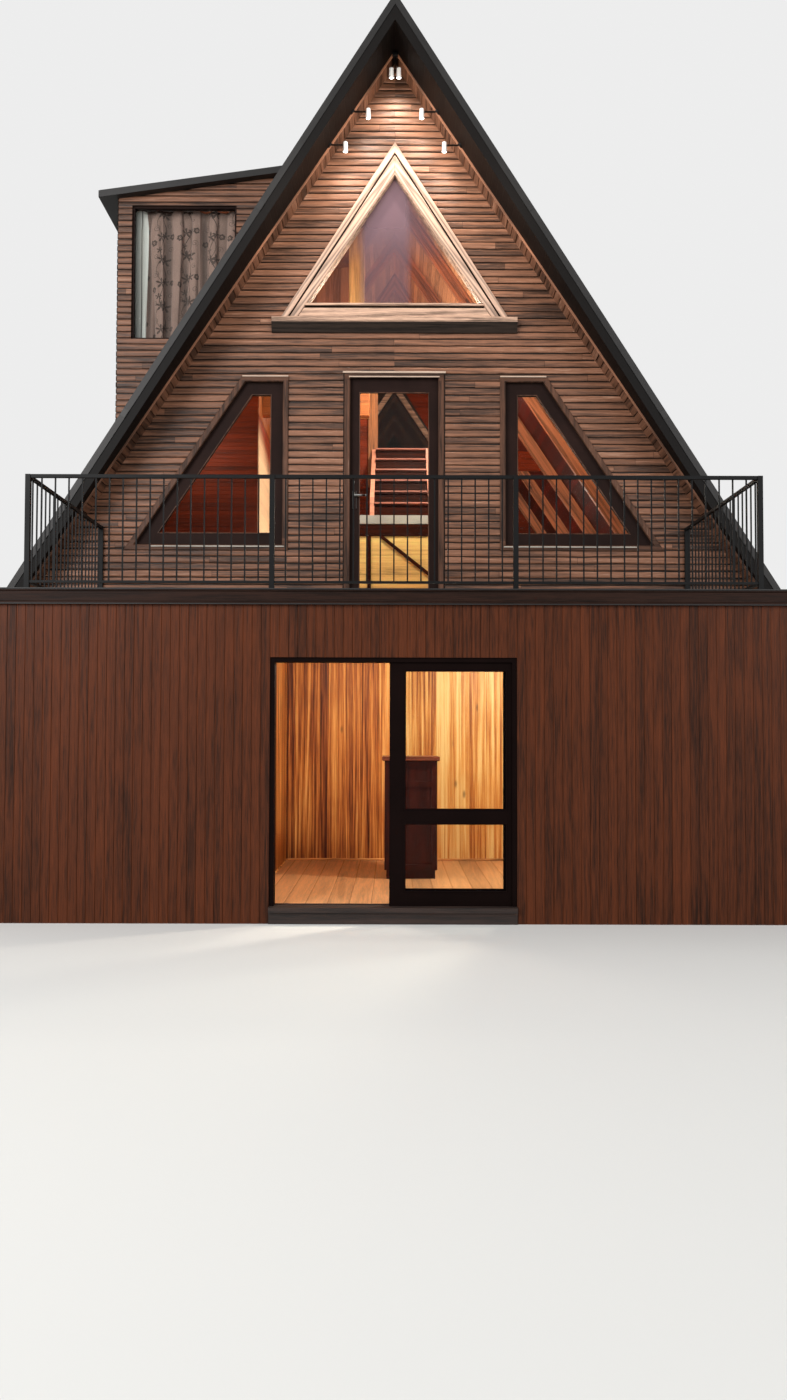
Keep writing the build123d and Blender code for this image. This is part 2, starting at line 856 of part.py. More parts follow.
# Landing and the stair from it to the loft
landing_left = stair_left - 140
landing_under = landing_top - landing_board
nodes["stair_landing"] = profile(
    [
        (landing_front, upper_floor_top),
        (landing_front, landing_top),
        (landing_back, landing_top),
        (landing_back, upper_floor_top),
        (landing_back - 60, upper_floor_top),
        (landing_back - 60, landing_under),
        (landing_front + 60, landing_under),
        (landing_front + 60, upper_floor_top),
    ],
    landing_left,
    landing_right,
)
stair_start = loft_front - stair_risers * stair_going
riser = (loft_top - landing_top) / stair_risers
string_points = [
    (stair_start, landing_top),
    (stair_start, landing_top + riser + 60),
    (loft_front, loft_top + 60),
    (loft_front, loft_top - 330),
    (stair_start + 300, landing_top),
]
stair_pieces = [
    profile(string_points, stair_left, stair_left + stringer),
    profile(string_points, stair_right - stringer, stair_right),
]
for i in range(stair_risers):
    z = landing_top + riser * (i + 1)
    y = stair_start + stair_going * i
    inner_left = stair_left + stringer
    inner_right = stair_right - stringer
    tread_back = min(y + stair_going + riser_board, loft_front)
    stair_pieces.append(block(inner_left, inner_right, y - nosing, tread_back, z - tread, z))
    stair_pieces.append(block(inner_left, inner_right, y, y + riser_board, z - riser, z - tread))
nodes["loft_stair"] = join(stair_pieces)


# Spot lamps under the front overhang
def spot(x):
    """A round plate on the slope, a short stem and a tilted cylinder head."""
    side = 1 if x > 0 else -1
    root = height(x)
    z = root - lamp_drop
    head = Pos(x, lamp_y, z) * Rot(lamp_tilt, 0, 0) * Cylinder(lamp_radius, lamp_length)
    stem = Pos(x, lamp_y, (root + z) / 2) * Cylinder(lamp_stem, lamp_drop)
    plate = Pos(x, lamp_y, root) * Rot(0, side * roof_pitch, 0) * Cylinder(lamp_plate, lamp_plate_depth)
    return join([head, stem, plate])


apex_block = facing(
    [
        (-reach(under_ridge - apex_block_height), under_ridge - apex_block_height),
        (reach(under_ridge - apex_block_height), under_ridge - apex_block_height),
        (0, under_ridge),
    ],
    lamp_y - lamp_plate,
    lamp_y + lamp_plate,
)
apex_z = under_ridge - apex_lamp_drop
apex_stem = Pos(0, lamp_y, (apex_z + under_ridge - apex_block_height) / 2) * Cylinder(
    lamp_stem, apex_lamp_drop - apex_block_height
)
apex_bar = Pos(0, lamp_y, apex_z) * Rot(0, 90, 0) * Cylinder(lamp_stem, apex_lamp_spread * 2)
apex_heads = [
    Pos(x, lamp_y, apex_z) * Rot(lamp_tilt, 0, 0) * Cylinder(lamp_radius, lamp_length)
    for x in (-apex_lamp_spread, apex_lamp_spread)
]
apex_lamp = join([apex_block, apex_stem, apex_bar, *apex_heads])
lamp_places = [side * x for side in (-1, 1) for x in (lamp_upper_x, lamp_lower_x)]
under_slope = facing([(-wide, height(wide)), (wide, height(wide)), (0, under_ridge)], 0, gable_y)
nodes["spot_lamps"] = Compound(
    children=[lamp & under_slope for lamp in [apex_lamp, *[spot(x) for x in lamp_places]]]
)

# The origin goes under the middle of the whole cabin
first_y = -threshold_lip
last_y = base_depth + overhang_at_ridge + metal + lean * (strip_over - over_ridge)
origin = Pos(0, -(first_y + last_y) / 2, 0)
for name, shape in nodes.items():
    export_step(origin * shape, f"parts/{name}.step")
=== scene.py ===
"""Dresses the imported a-frame cabin: boards, cladding, shingles, trim, curtain, rooms, finishes and stage.

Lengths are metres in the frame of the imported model: X to the right of the front, Y into the cabin, Z up.
"""
import math
import random

import bmesh
import bpy
from mathutils import Matrix, Vector, noise


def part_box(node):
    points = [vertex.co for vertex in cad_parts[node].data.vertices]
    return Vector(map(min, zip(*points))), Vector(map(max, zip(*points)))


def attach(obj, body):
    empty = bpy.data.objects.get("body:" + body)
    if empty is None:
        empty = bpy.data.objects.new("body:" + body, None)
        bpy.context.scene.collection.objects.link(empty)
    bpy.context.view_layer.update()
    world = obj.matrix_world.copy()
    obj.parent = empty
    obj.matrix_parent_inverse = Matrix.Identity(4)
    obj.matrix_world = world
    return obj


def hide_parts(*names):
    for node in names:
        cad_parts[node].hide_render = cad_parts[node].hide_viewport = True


bl_info = {
    "name": "A-frame cabin dressing",
    "version": (1, 0, 0),
    "blender": (4, 5, 0),
    "location": "View3D > Sidebar > Cabin",
    "description": "Boards, shingles, trim, rooms and finishes of an a-frame cabin",
    "category": "Object",
}

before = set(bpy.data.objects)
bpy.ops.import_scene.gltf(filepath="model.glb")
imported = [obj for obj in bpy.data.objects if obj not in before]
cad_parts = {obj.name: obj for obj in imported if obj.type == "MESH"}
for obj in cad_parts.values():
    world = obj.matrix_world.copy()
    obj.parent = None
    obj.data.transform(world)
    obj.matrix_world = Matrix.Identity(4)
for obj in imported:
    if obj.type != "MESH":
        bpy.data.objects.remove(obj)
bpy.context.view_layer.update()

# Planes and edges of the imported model

HOUSE = "house"

BASE_LEFT, BASE_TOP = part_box("front_wall_left")
BASE_FRONT = BASE_LEFT.y
WALL_TOP = BASE_TOP.z
ROOM_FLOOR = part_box("ground_floor")[1].z

GABLE_LOW, GABLE_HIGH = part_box("gable_wall_top")
GABLE_FRONT = GABLE_LOW.y
GABLE_INSIDE = GABLE_HIGH.y
APEX = GABLE_HIGH.z
TERRACE_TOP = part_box("gable_wall_left")[0].z
GABLE_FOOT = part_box("gable_wall_right")[1].x
REAR_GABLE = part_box("rear_gable_wall")[1].y
LEAN = (APEX - TERRACE_TOP) / GABLE_FOOT

ROOF_LOW, ROOF_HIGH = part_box("roof_right")
ROOF_TOP = ROOF_HIGH.z
PITCH = math.atan(LEAN)

# Each end of the roof stands further out at the ridge than at its foot, by this much
ROOF_RUN_OUT = 0.47
FRONT_RIDGE, FRONT_FOOT = ROOF_LOW.y, ROOF_LOW.y + ROOF_RUN_OUT
REAR_FOOT, REAR_RIDGE = ROOF_HIGH.y - ROOF_RUN_OUT, ROOF_HIGH.y

DORMER_LOW, DORMER_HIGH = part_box("dormer_front_wall")
DORMER_FRONT = DORMER_LOW.y
DORMER_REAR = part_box("dormer_rear_wall")[1].y
DORMER_SIDE = DORMER_LOW.x
DORMER_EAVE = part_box("dormer_side_wall")[1].z
DORMER_FALL = (DORMER_HIGH.z - DORMER_EAVE) / (DORMER_HIGH.x - DORMER_SIDE)

PEAK_LOW, PEAK_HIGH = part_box("peak_windows")
PEAK_HALF = PEAK_HIGH.x - 0.10


# Values that a user would change


class CabinSizes(bpy.types.PropertyGroup):
    """Sizes of the boards and coverings."""

    siding_pitch: bpy.props.FloatProperty(
        name="Siding pitch", description="Height of one rough gable board", default=0.077, unit="LENGTH")
    siding_gap: bpy.props.FloatProperty(
        name="Siding gap", description="Shadow line between gable boards", default=0.008, unit="LENGTH")
    siding_thickness: bpy.props.FloatProperty(
        name="Siding thickness", description="How far gable boards stand off the wall", default=0.016,
        unit="LENGTH")
    cladding_pitch: bpy.props.FloatProperty(
        name="Cladding pitch", description="Width of one upright base board", default=0.078, unit="LENGTH")
    room_board: bpy.props.FloatProperty(
        name="Room board", description="Width of one board inside", default=0.098, unit="LENGTH")
    shingle_course: bpy.props.FloatProperty(
        name="Shingle course", description="Exposed height of one shingle course", default=0.143,
        unit="LENGTH")
    shingle_width: bpy.props.FloatProperty(
        name="Shingle width", description="Width of one shingle tab", default=0.305, unit="LENGTH")


class CabinColours(bpy.types.PropertyGroup):
    """Main colours, as they look on a screen."""

    siding: bpy.props.FloatVectorProperty(
        name="Gable boards", description="Middle tone of the varnished gable boards",
        default=(0.44, 0.30, 0.225), subtype="COLOR_GAMMA")
    cladding: bpy.props.FloatVectorProperty(
        name="Base boards", description="Middle tone of the upright base boards",
        default=(0.28, 0.135, 0.065), subtype="COLOR_GAMMA")
    casing: bpy.props.FloatVectorProperty(
        name="Casings", description="Middle tone of the window and door trim",
        default=(0.31, 0.21, 0.16), subtype="COLOR_GAMMA")
    pine: bpy.props.FloatVectorProperty(
        name="Pine", description="Middle tone of the boards in the ground room",
        default=(0.80, 0.53, 0.28), subtype="COLOR_GAMMA")
    red_boards: bpy.props.FloatVectorProperty(
        name="Red boards", description="Middle tone of the stained boards upstairs",
        default=(0.43, 0.15, 0.055), subtype="COLOR_GAMMA")
    fabric: bpy.props.FloatVectorProperty(
        name="Curtain", description="Ground colour of the curtain cloth",
        default=(0.60, 0.485, 0.44), subtype="COLOR_GAMMA")


def sizes():
    return bpy.context.scene.cabin_sizes


def colours():
    return bpy.context.scene.cabin_colours


# Shader helpers


def screen(red, green, blue):
    """A colour as it looks on a screen, in the linear values that shaders take."""
    def linear(x):
        return ((x + 0.055) / 1.055) ** 2.4 if x > 0.04045 else x / 12.92
    return (linear(red), linear(green), linear(blue), 1.0)


def toned(colour, factor):
    """The same colour lighter or darker, in screen values."""
    return tuple(min(1.0, x * factor) for x in colour)


class Amount:
    """A number that varies over a surface. A sum on it adds Math nodes."""

    def __init__(self, finish, socket):
        self.finish = finish
        self.socket = socket

    def math(self, operation, *values):
        values = {place: value for place, value in enumerate(values)}
        return self.finish.amount("ShaderNodeMath", {"operation": operation}, values)

    def __add__(self, other):
        return self.math("ADD", self, other)

    __radd__ = __add__

    def __sub__(self, other):
        return self.math("SUBTRACT", self, other)

    def __rsub__(self, other):
        return self.math("SUBTRACT", other, self)

    def __mul__(self, other):
        return self.math("MULTIPLY", self, other)

    __rmul__ = __mul__

    def __truediv__(self, other):
        return self.math("DIVIDE", self, other)

    def __pow__(self, other):
        return self.math("POWER", self, other)

    def part(self):
        """What is left over a whole number."""
        return self.math("FRACT", self)

    def whole(self):
        return self.math("FLOOR", self)

    def size(self):
        return self.math("ABSOLUTE", self)

    def wave(self):
        return self.math("SINE", self)

    def most(self, other):
        return self.math("MAXIMUM", self, other)

    def ramp(self, low, high):
        """0 below low, 1 above high, a smooth step between. It falls where low is the larger."""
        settings = {"interpolation_type": "SMOOTHSTEP"}
        if low < high:
            values = {"Value": self, "From Min": low, "From Max": high}
        else:
            values = {"Value": self, "From Min": high, "From Max": low, "To Min": 1.0, "To Max": 0.0}
        return self.finish.amount("ShaderNodeMapRange", settings, values)


class Tree:
    """The nodes and links of a material or a world."""

    def __init__(self, owner):
        owner.use_nodes = True
        self.nodes = owner.node_tree.nodes
        self.links = owner.node_tree.links

    def set(self, node, inputs):
        for place, value in inputs.items():
            socket = node.inputs[place]
            value = value.socket if isinstance(value, Amount) else value
            if isinstance(value, bpy.types.NodeSocket):
                self.links.new(value, socket)
            else:
                socket.default_value = value
        return node

    def node(self, kind, settings=None, inputs=None):
        made = self.nodes.new(kind)
        for key, value in (settings or {}).items():
            if key == "stops":
                self.stops(made.color_ramp.elements, value)
            else:
                setattr(made, key, value)
        return self.set(made, inputs or {})

    def stops(self, elements, wanted):
        for place, (position, colour) in enumerate(wanted):
            stop = elements[place] if place < 2 else elements.new(position)
            stop.position = position
            stop.color = screen(*colour)

    def amount(self, kind, settings=None, inputs=None, output=0):
        return Amount(self, self.node(kind, settings, inputs).outputs[output])


class Finish(Tree):
    """One material: its nodes and the shader they feed."""

    def __init__(self, name):
        self.material = bpy.data.materials.new(name)
        super().__init__(self.material)
        self.shader = self.nodes["Principled BSDF"]
        self.output = self.nodes["Material Output"]

    def position(self):
        return self.node("ShaderNodeTexCoord").outputs["Object"]

    def part_of(self, vector, letter):
        """One of the three numbers of a vector."""
        split = self.node("ShaderNodeSeparateXYZ", None, {"Vector": vector})
        return Amount(self, split.outputs[letter])

    def axis(self, letter):
        return self.part_of(self.position(), letter)

    def vector(self, x, y, z=0.0):
        return self.node("ShaderNodeCombineXYZ", None, {"X": x, "Y": y, "Z": z}).outputs[0]

    def attribute(self, name):
        return self.amount("ShaderNodeAttribute", {"attribute_name": name}, output=2)

    def stretched(self, scale, shift=None):
        """Object coordinates scaled along each axis, moved by shift times a fixed vector."""
        spot = self.node("ShaderNodeMapping", None, {"Vector": self.position(), "Scale": scale}).outputs[0]
        if shift is None:
            return spot
        away = self.vector(shift * 37.0, shift * 53.0, shift * 29.0)
        return self.node("ShaderNodeVectorMath", {"operation": "ADD"}, {0: spot, 1: away}).outputs[0]

    def noise(self, vector, scale=1.0, detail=2.0, rough=0.5):
        return self.amount("ShaderNodeTexNoise", None,
                           {"Vector": vector, "Scale": scale, "Detail": detail, "Roughness": rough})

    def cells(self, vector, scale):
        """The distance from the middle of the nearest cell."""
        return self.amount("ShaderNodeTexVoronoi", None, {"Vector": vector, "Scale": scale})

    def dice(self, value):
        """A number from 0 to 1 that is the same wherever value is."""
        return self.amount("ShaderNodeTexWhiteNoise", {"noise_dimensions": "1D"}, {"W": value})

    def angle(self, across, along):
        """The direction from a point, from the two distances to it."""
        return self.amount("ShaderNodeMath", {"operation": "ARCTAN2"}, {0: along, 1: across})

    def petals(self, across, along, count):
        """A wave that runs round a point count times."""
        return (self.angle(across, along) * count).wave()

    def mix(self, factor, first, second):
        """Between two colours."""
        made = self.node("ShaderNodeMix", {"data_type": "RGBA"}, {0: factor, 6: first, 7: second})
        return made.outputs[2]

    def blend(self, factor, first, second):
        """Between two vectors."""
        made = self.node("ShaderNodeMix", {"data_type": "VECTOR"}, {0: factor, 4: first, 5: second})
        return made.outputs[1]

    def tones(self, factor, stops):
        return self.node("ShaderNodeValToRGB", {"stops": stops}, {"Fac": factor}).outputs[0]

    def tinted(self, factor, colour, dark, light, places=(0.1, 0.5, 0.9)):
        """A colour with a darker and a lighter tone of it on either side."""
        tones = (toned(colour, dark), colour, toned(colour, light))
        return self.tones(factor, list(zip(places, tones)))

    def relief(self, height, distance, strength=1.0):
        made = self.node("ShaderNodeBump", None,
                         {"Height": height, "Distance": distance, "Strength": strength})
        return made.outputs[0]

    def paint(self, **inputs):
        self.set(self.shader, {name.replace("_", " "): value for name, value in inputs.items()})
        return self.material


FINISHES = {}


def finish(name, make=None, *values, **settings):
    """The material of that name. It is made where a maker is given, and looked up elsewhere."""
    if make:
        FINISHES[name] = make(name, *values, **settings)
    return FINISHES[name]


GRAIN_SCALES = {"X": (1.0, 26.0, 26.0), "Y": (26.0, 1.0, 26.0), "Z": (26.0, 26.0, 1.0)}
# The rings' scale as a share of the grain's
FLOW = 0.22
DUST = (0.74, 0.68, 0.63)
# The side windows' casings lie further from the middle than this
CASING_REACH = 1.15


def wood(name, colour, along="X", tone=0.3, figure=0.35, gloss=0.45, sawn=0.3, weather=0.2,
         boards="attribute", pitch=None, across="Z", knots=0.0, worn=0.0, fine=1.0, streak=0.0,
         drift=0.0, shades=None, dark_under=None, level_above=None, level_under=None, contrast=1.2,
         shine=0.3, joint=0.85, slow=1.0):
    """Timber whose grain runs along one axis, stretched by slow.

    Boards are told apart by the piece's attribute, by their place every pitch along across, or not at all.
    dark_under is the height under which painted shade makes the timber nearly black. The grain lies
    along X over level_above, and under level_under on the side windows' casings.
    """
    f = Finish(name)
    if boards == "attribute":
        own = f.attribute("board")
        edge = (f.attribute("across") - 0.5).size().ramp(0.462, 0.5)
    elif boards == "place":
        spot = f.axis(across) / pitch
        own = f.dice(spot.whole())
        edge = (spot.part() - 0.5).size().ramp(0.455, 0.495)
    else:
        own, edge = 0.5, 0.0
    scale = tuple(x / slow if x == 1.0 else x for x in GRAIN_SCALES[along])
    grain = f.stretched(scale, shift=own)
    flow = f.stretched(tuple(x * FLOW * fine for x in scale), shift=own)
    if level_above:
        level = f.axis("Z").ramp(level_above - 0.001, level_above + 0.001)
        if level_under:
            outer = f.axis("X").size().ramp(CASING_REACH - 0.001, CASING_REACH + 0.001)
            level = level.most(f.axis("Z").ramp(level_under + 0.001, level_under - 0.001) * outer)
        grain = f.blend(level, grain, f.stretched(GRAIN_SCALES["X"]))
        flow = f.blend(level, flow, f.stretched(tuple(x * FLOW * fine for x in GRAIN_SCALES["X"])))
    lines = f.noise(grain, 4.5, 5.0, 0.68)
    swell = f.noise(flow, 1.0, 2.0, 0.5)
    rings = (swell * 46.0).wave() * 0.5 + 0.5
    patch = f.noise(f.position(), 0.9, 3.0, 0.6)
    value = 0.5 + (lines - 0.5) * contrast + (rings - 0.5) * figure * 0.8 + (own - 0.5) * tone
    value = value + (patch - 0.5) * weather
    if streak:
        value = value + (f.noise(grain, 1.5, 3.0, 0.6) - 0.5) * streak
    # Lighter towards +X: partly the boards' own tone, partly painted light, brighter where the room's lamp
    # stands to the right.
    if drift:
        value = value + f.axis("X") * drift
    dusty = tuple(x * (1 - worn) + y * worn for x, y in zip(toned(colour, 1.42), DUST))
    shade = f.tones(value, shades or [(0.08, toned(colour, 0.30)), (0.33, toned(colour, 0.70)),
                                      (0.52, colour), (0.76, toned(colour, 1.2)), (1.0, dusty)])
    if knots:
        spread = f.stretched(tuple(1.9 if x > 2 else 0.75 for x in scale), shift=own)
        spots = f.cells(spread, 2.2).ramp(0.11, 0.03) * knots
        shade = f.mix(spots, shade, screen(*toned(colour, 0.28)))
    shade = f.mix(edge * joint, shade, screen(*toned(colour, 0.14)))
    # Painted shade: under this height the timber turns nearly black, as in the shadow under the peak
    # window's sill cap.
    if dark_under:
        under = f.axis("Z").ramp(dark_under, dark_under - 0.004)
        shade = f.mix(under * 0.96, shade, screen(0.04, 0.025, 0.018))
    height = lines * sawn + rings * 0.12 - edge * 0.8
    return f.paint(Base_Color=shade, Roughness=gloss + (lines - 0.5) * 0.3 + edge * 0.2,
                   Specular_IOR_Level=shine, Normal=f.relief(height, 0.004, 0.75))


def painted_shade_above(name, colour, stain_and_shade, low, high):
    """Narrow pale boards along Y, with painted shade above: it fades in from one height to another."""
    f = Finish(name)
    own = f.attribute("board")
    grain = f.noise(f.stretched(GRAIN_SCALES["Y"], shift=own), 4.5, 4.0, 0.6)
    value = 0.5 + (grain - 0.5) * 0.6 + (own - 0.5) * 0.3
    pale = f.tinted(value, colour, 0.75, 1.08)
    dark = f.tones(value, [(0.1, toned(stain_and_shade, 0.6)), (0.5, toned(stain_and_shade, 1.15)), (0.9, toned(stain_and_shade, 1.5))])
    # Painted shade: the upper boards turn to the darker colour, fading in between low and high.
    drop = f.axis("Z") + f.axis("Y") * 0.22
    shade = f.mix(drop.ramp(low, high), pale, dark)
    edge = (f.attribute("across") - 0.5).size().ramp(0.40, 0.5)
    return f.paint(Base_Color=f.mix(edge * 0.6, shade, screen(*toned(stain_and_shade, 0.8))),
                   Roughness=0.5 + (grain - 0.5) * 0.2, Normal=f.relief(grain * 0.3, 0.003, 0.5))


def slope_wood(name, colour, knots=0.0):
    """Timber along the roof's slope: the grain follows it on either side."""
    f = Finish(name)
    side = f.axis("X").size()
    run = side * math.cos(PITCH) - f.axis("Z") * math.sin(PITCH)
    over = side * math.sin(PITCH) + f.axis("Z") * math.cos(PITCH)
    turned = f.vector(over * 30.0, f.axis("Y") * 30.0, run * 1.2)
    lines = f.noise(turned, 3.2, 4.0, 0.6)
    swell = f.noise(turned, 0.22, 2.0, 0.5)
    rings = (swell * 44.0).wave() * 0.5 + 0.5
    value = 0.5 + (lines - 0.5) * 0.8 + (rings - 0.5) * 0.45
    shade = f.tinted(value, colour, 0.5, 1.3, (0.1, 0.5, 0.95))
    if knots:
        spots = f.cells(f.vector(over * 5.0, f.axis("Y") * 5.0, run * 2.0), 1.0).ramp(0.13, 0.06)
        shade = f.mix(spots * knots, shade, screen(*toned(colour, 0.3)))
    return f.paint(Base_Color=shade, Roughness=0.45 + (lines - 0.5) * 0.2,
                   Normal=f.relief(lines * 0.3 + rings * 0.1, 0.003, 0.5))


def painted(name, colour, rough=0.4, metal=0.0, grime=0.12, grain=0.0, sheen=0.5):
    """A painted or plain metal surface, with soft blotches, dust and a fine tooth."""
    f = Finish(name)
    blotch = f.noise(f.position(), 2.3, 4.0, 0.6)
    tooth = f.noise(f.position(), 160.0, 3.0, 0.6)
    shade = f.tinted(blotch + (tooth - 0.5) * 0.4, colour, 1.0 - grime, 1.0 + grime, (0.2, 0.55, 0.9))
    height = tooth * 0.4 + blotch * 0.6
    if grain:
        height = height + f.noise(f.stretched((4.0, 60.0, 60.0)), 1.0, 3.0) * grain
    return f.paint(Base_Color=shade, Metallic=metal, Roughness=rough + (blotch - 0.5) * 0.25,
                   Specular_IOR_Level=sheen, Normal=f.relief(height, 0.0012, 0.4))


SCREED_BAY = 1.45


def concrete(name, colour):
    """Trowelled screed with fine sand, stains and joints between its bays."""
    f = Finish(name)
    stain_and_shade = f.noise(f.position(), 0.8, 5.0, 0.6)
    sand = f.noise(f.position(), 90.0, 3.0, 0.7)
    bay, row = [((f.axis(letter) / SCREED_BAY).part() - 0.5).size().ramp(0.493, 0.499) for letter in "XY"]
    joint = bay.most(row)
    shade = f.tinted(stain_and_shade * 0.7 + sand * 0.3, colour, 0.72, 1.15, (0.25, 0.5, 0.75))
    shade = f.mix(joint * 0.7, shade, screen(*toned(colour, 0.4)))
    return f.paint(Base_Color=shade, Roughness=0.75 + (stain_and_shade - 0.5) * 0.2,
                   Normal=f.relief(sand * 0.5 + stain_and_shade * 0.5 - joint, 0.002, 0.6))


def glass(name):
    """Clear glass with a faint film of dust. It mirrors more at a glance than straight on.

    The front peak window carries a painted pale glow, strongest in its middle and near its top,
    and painted shade makes the panes at the rear nearly black.
    """
    f = Finish(name)
    film = f.noise(f.position(), 1.6, 5.0, 0.65)
    f.paint(Roughness=0.03 + film.ramp(0.45, 0.8) * 0.1)
    clear = f.node("ShaderNodeBsdfTransparent", None, {"Color": (0.95, 0.965, 0.96, 1.0)})
    glance = f.amount("ShaderNodeFresnel", None, {"IOR": 1.35})
    # Painted shade: the panes at the rear turn nearly black.
    rear = f.axis("Y").ramp(GABLE_INSIDE + 5.0, GABLE_INSIDE + 5.1)
    level = f.axis("Z")
    # Painted glow: a pale pinkish patch in the front peak window, most in its middle and near its top.
    middle = f.axis("X").size().ramp(1.35, 1.33)
    heart = (f.axis("X") + 0.10).size().ramp(0.31, 0.20)
    painted_glow = middle * level.ramp(PEAK_LOW.z, PEAK_LOW.z + 0.1) * (
        0.02 + heart * 0.42 + level.ramp(6.7, 7.3) * 0.36 + film * 0.06)
    share = (glance * 0.5 + 0.006 + painted_glow + film.ramp(0.5, 0.85) * 0.02).most(rear * 0.93)
    glow_tint = painted_glow.ramp(0.0, 0.05) * (1 - rear)
    f.paint(Base_Color=f.mix(glow_tint, (0.02, 0.022, 0.024, 1.0), screen(0.37, 0.29, 0.32)))
    mixed = f.node("ShaderNodeMixShader", None,
                   {0: share, 1: clear.outputs[0], 2: f.shader.outputs[0]})
    f.links.new(mixed.outputs[0], f.output.inputs["Surface"])
    return f.material


def shingles(name, colour):
    """Mineral-coated bitumen shingles, each tab a little lighter or darker than the next."""
    f = Finish(name)
    own = f.attribute("board")
    grit = f.noise(f.position(), 240.0, 2.0, 0.7)
    stain_and_shade = f.noise(f.position(), 0.7, 4.0, 0.6)
    value = 0.5 + (own - 0.5) * 0.5 + (grit - 0.5) * 0.5 + (stain_and_shade - 0.5) * 0.4
    shade = f.tinted(value, colour, 0.55, 1.6)
    return f.paint(Base_Color=shade, Roughness=0.85 + (grit - 0.5) * 0.2,
                   Normal=f.relief(grit, 0.0015, 0.6))


def roof_shell(name):
    """The roof's slabs: dark outside the gables, red-brown boards inside, pale with painted light up high.
    """
    f = Finish(name)
    y = f.axis("Y")
    spot = f.axis("Z") / 0.083
    facing = f.node("ShaderNodeNewGeometry").outputs["True Normal"]
    under = f.part_of(facing, "Z").ramp(0.1, 0.0)
    inside = under * y.ramp(GABLE_FRONT + 0.01, GABLE_FRONT + 0.02)
    inside = inside * y.ramp(REAR_GABLE - 0.01, REAR_GABLE - 0.02)
    end = f.part_of(facing, "Y").size().ramp(0.4, 0.6)
    edge = (spot.part() - 0.5).size().ramp(0.45, 0.5) * (1 - end)
    own = f.dice(spot.whole())
    grain = f.noise(f.stretched(GRAIN_SCALES["Y"], shift=own), 4.5, 4.0, 0.6)
    value = 0.5 + (grain - 0.5) * 0.9 + (own - 0.5) * 0.4
    # Painted light: above 6.6 m the inside boards blend to a pale tone, as if lit by the loft's lamps near
    # the ridge.
    red, pale = (0.27, 0.055, 0.025), (0.80, 0.56, 0.40)
    boards = f.mix(f.axis("Z").ramp(6.6, 7.3), f.tinted(value, red, 0.6, 1.4),
                   f.tinted(value, pale, 0.6, 1.2))
    soffit = f.tones(value, [(0.1, (0.03, 0.023, 0.02)), (0.6, (0.055, 0.042, 0.036)),
                             (0.95, (0.085, 0.064, 0.055))])
    shade = f.mix(end, f.mix(inside, soffit, boards), screen(0.06, 0.05, 0.045))
    shade = f.mix(edge * 0.8, shade, screen(0.03, 0.02, 0.02))
    return f.paint(Base_Color=shade, Roughness=0.55 + (grain - 0.5) * 0.2, Specular_IOR_Level=0.12,
                   Normal=f.relief(grain * 0.3 - edge, 0.003, 0.7))


def lit(name, colour, strength):
    """A glowing lens."""
    f = Finish(name)
    return f.paint(Base_Color=screen(*colour), Emission_Color=screen(*colour),
                   Emission_Strength=strength, Roughness=0.25)


PRINT_WIDTH = 0.39
PRINT_HEIGHT = 0.585
HEM = 0.24
THREAD = 0.0016
# Places in the print's repeat, with each curl's radius and each leaf's size
CURLS = ((-0.105, 0.165, 0.047), (0.105, -0.085, 0.043), (0.092, 0.215, 0.034), (-0.095, -0.190, 0.040))
FLOWERS = ((-0.130, -0.020), (0.130, 0.075))
LEAVES = ((0.035, -0.235, 1.15), (-0.030, -0.225, 0.95), (-0.030, 0.060, 1.0), (0.040, 0.085, 0.75),
          (-0.060, -0.110, 0.6))


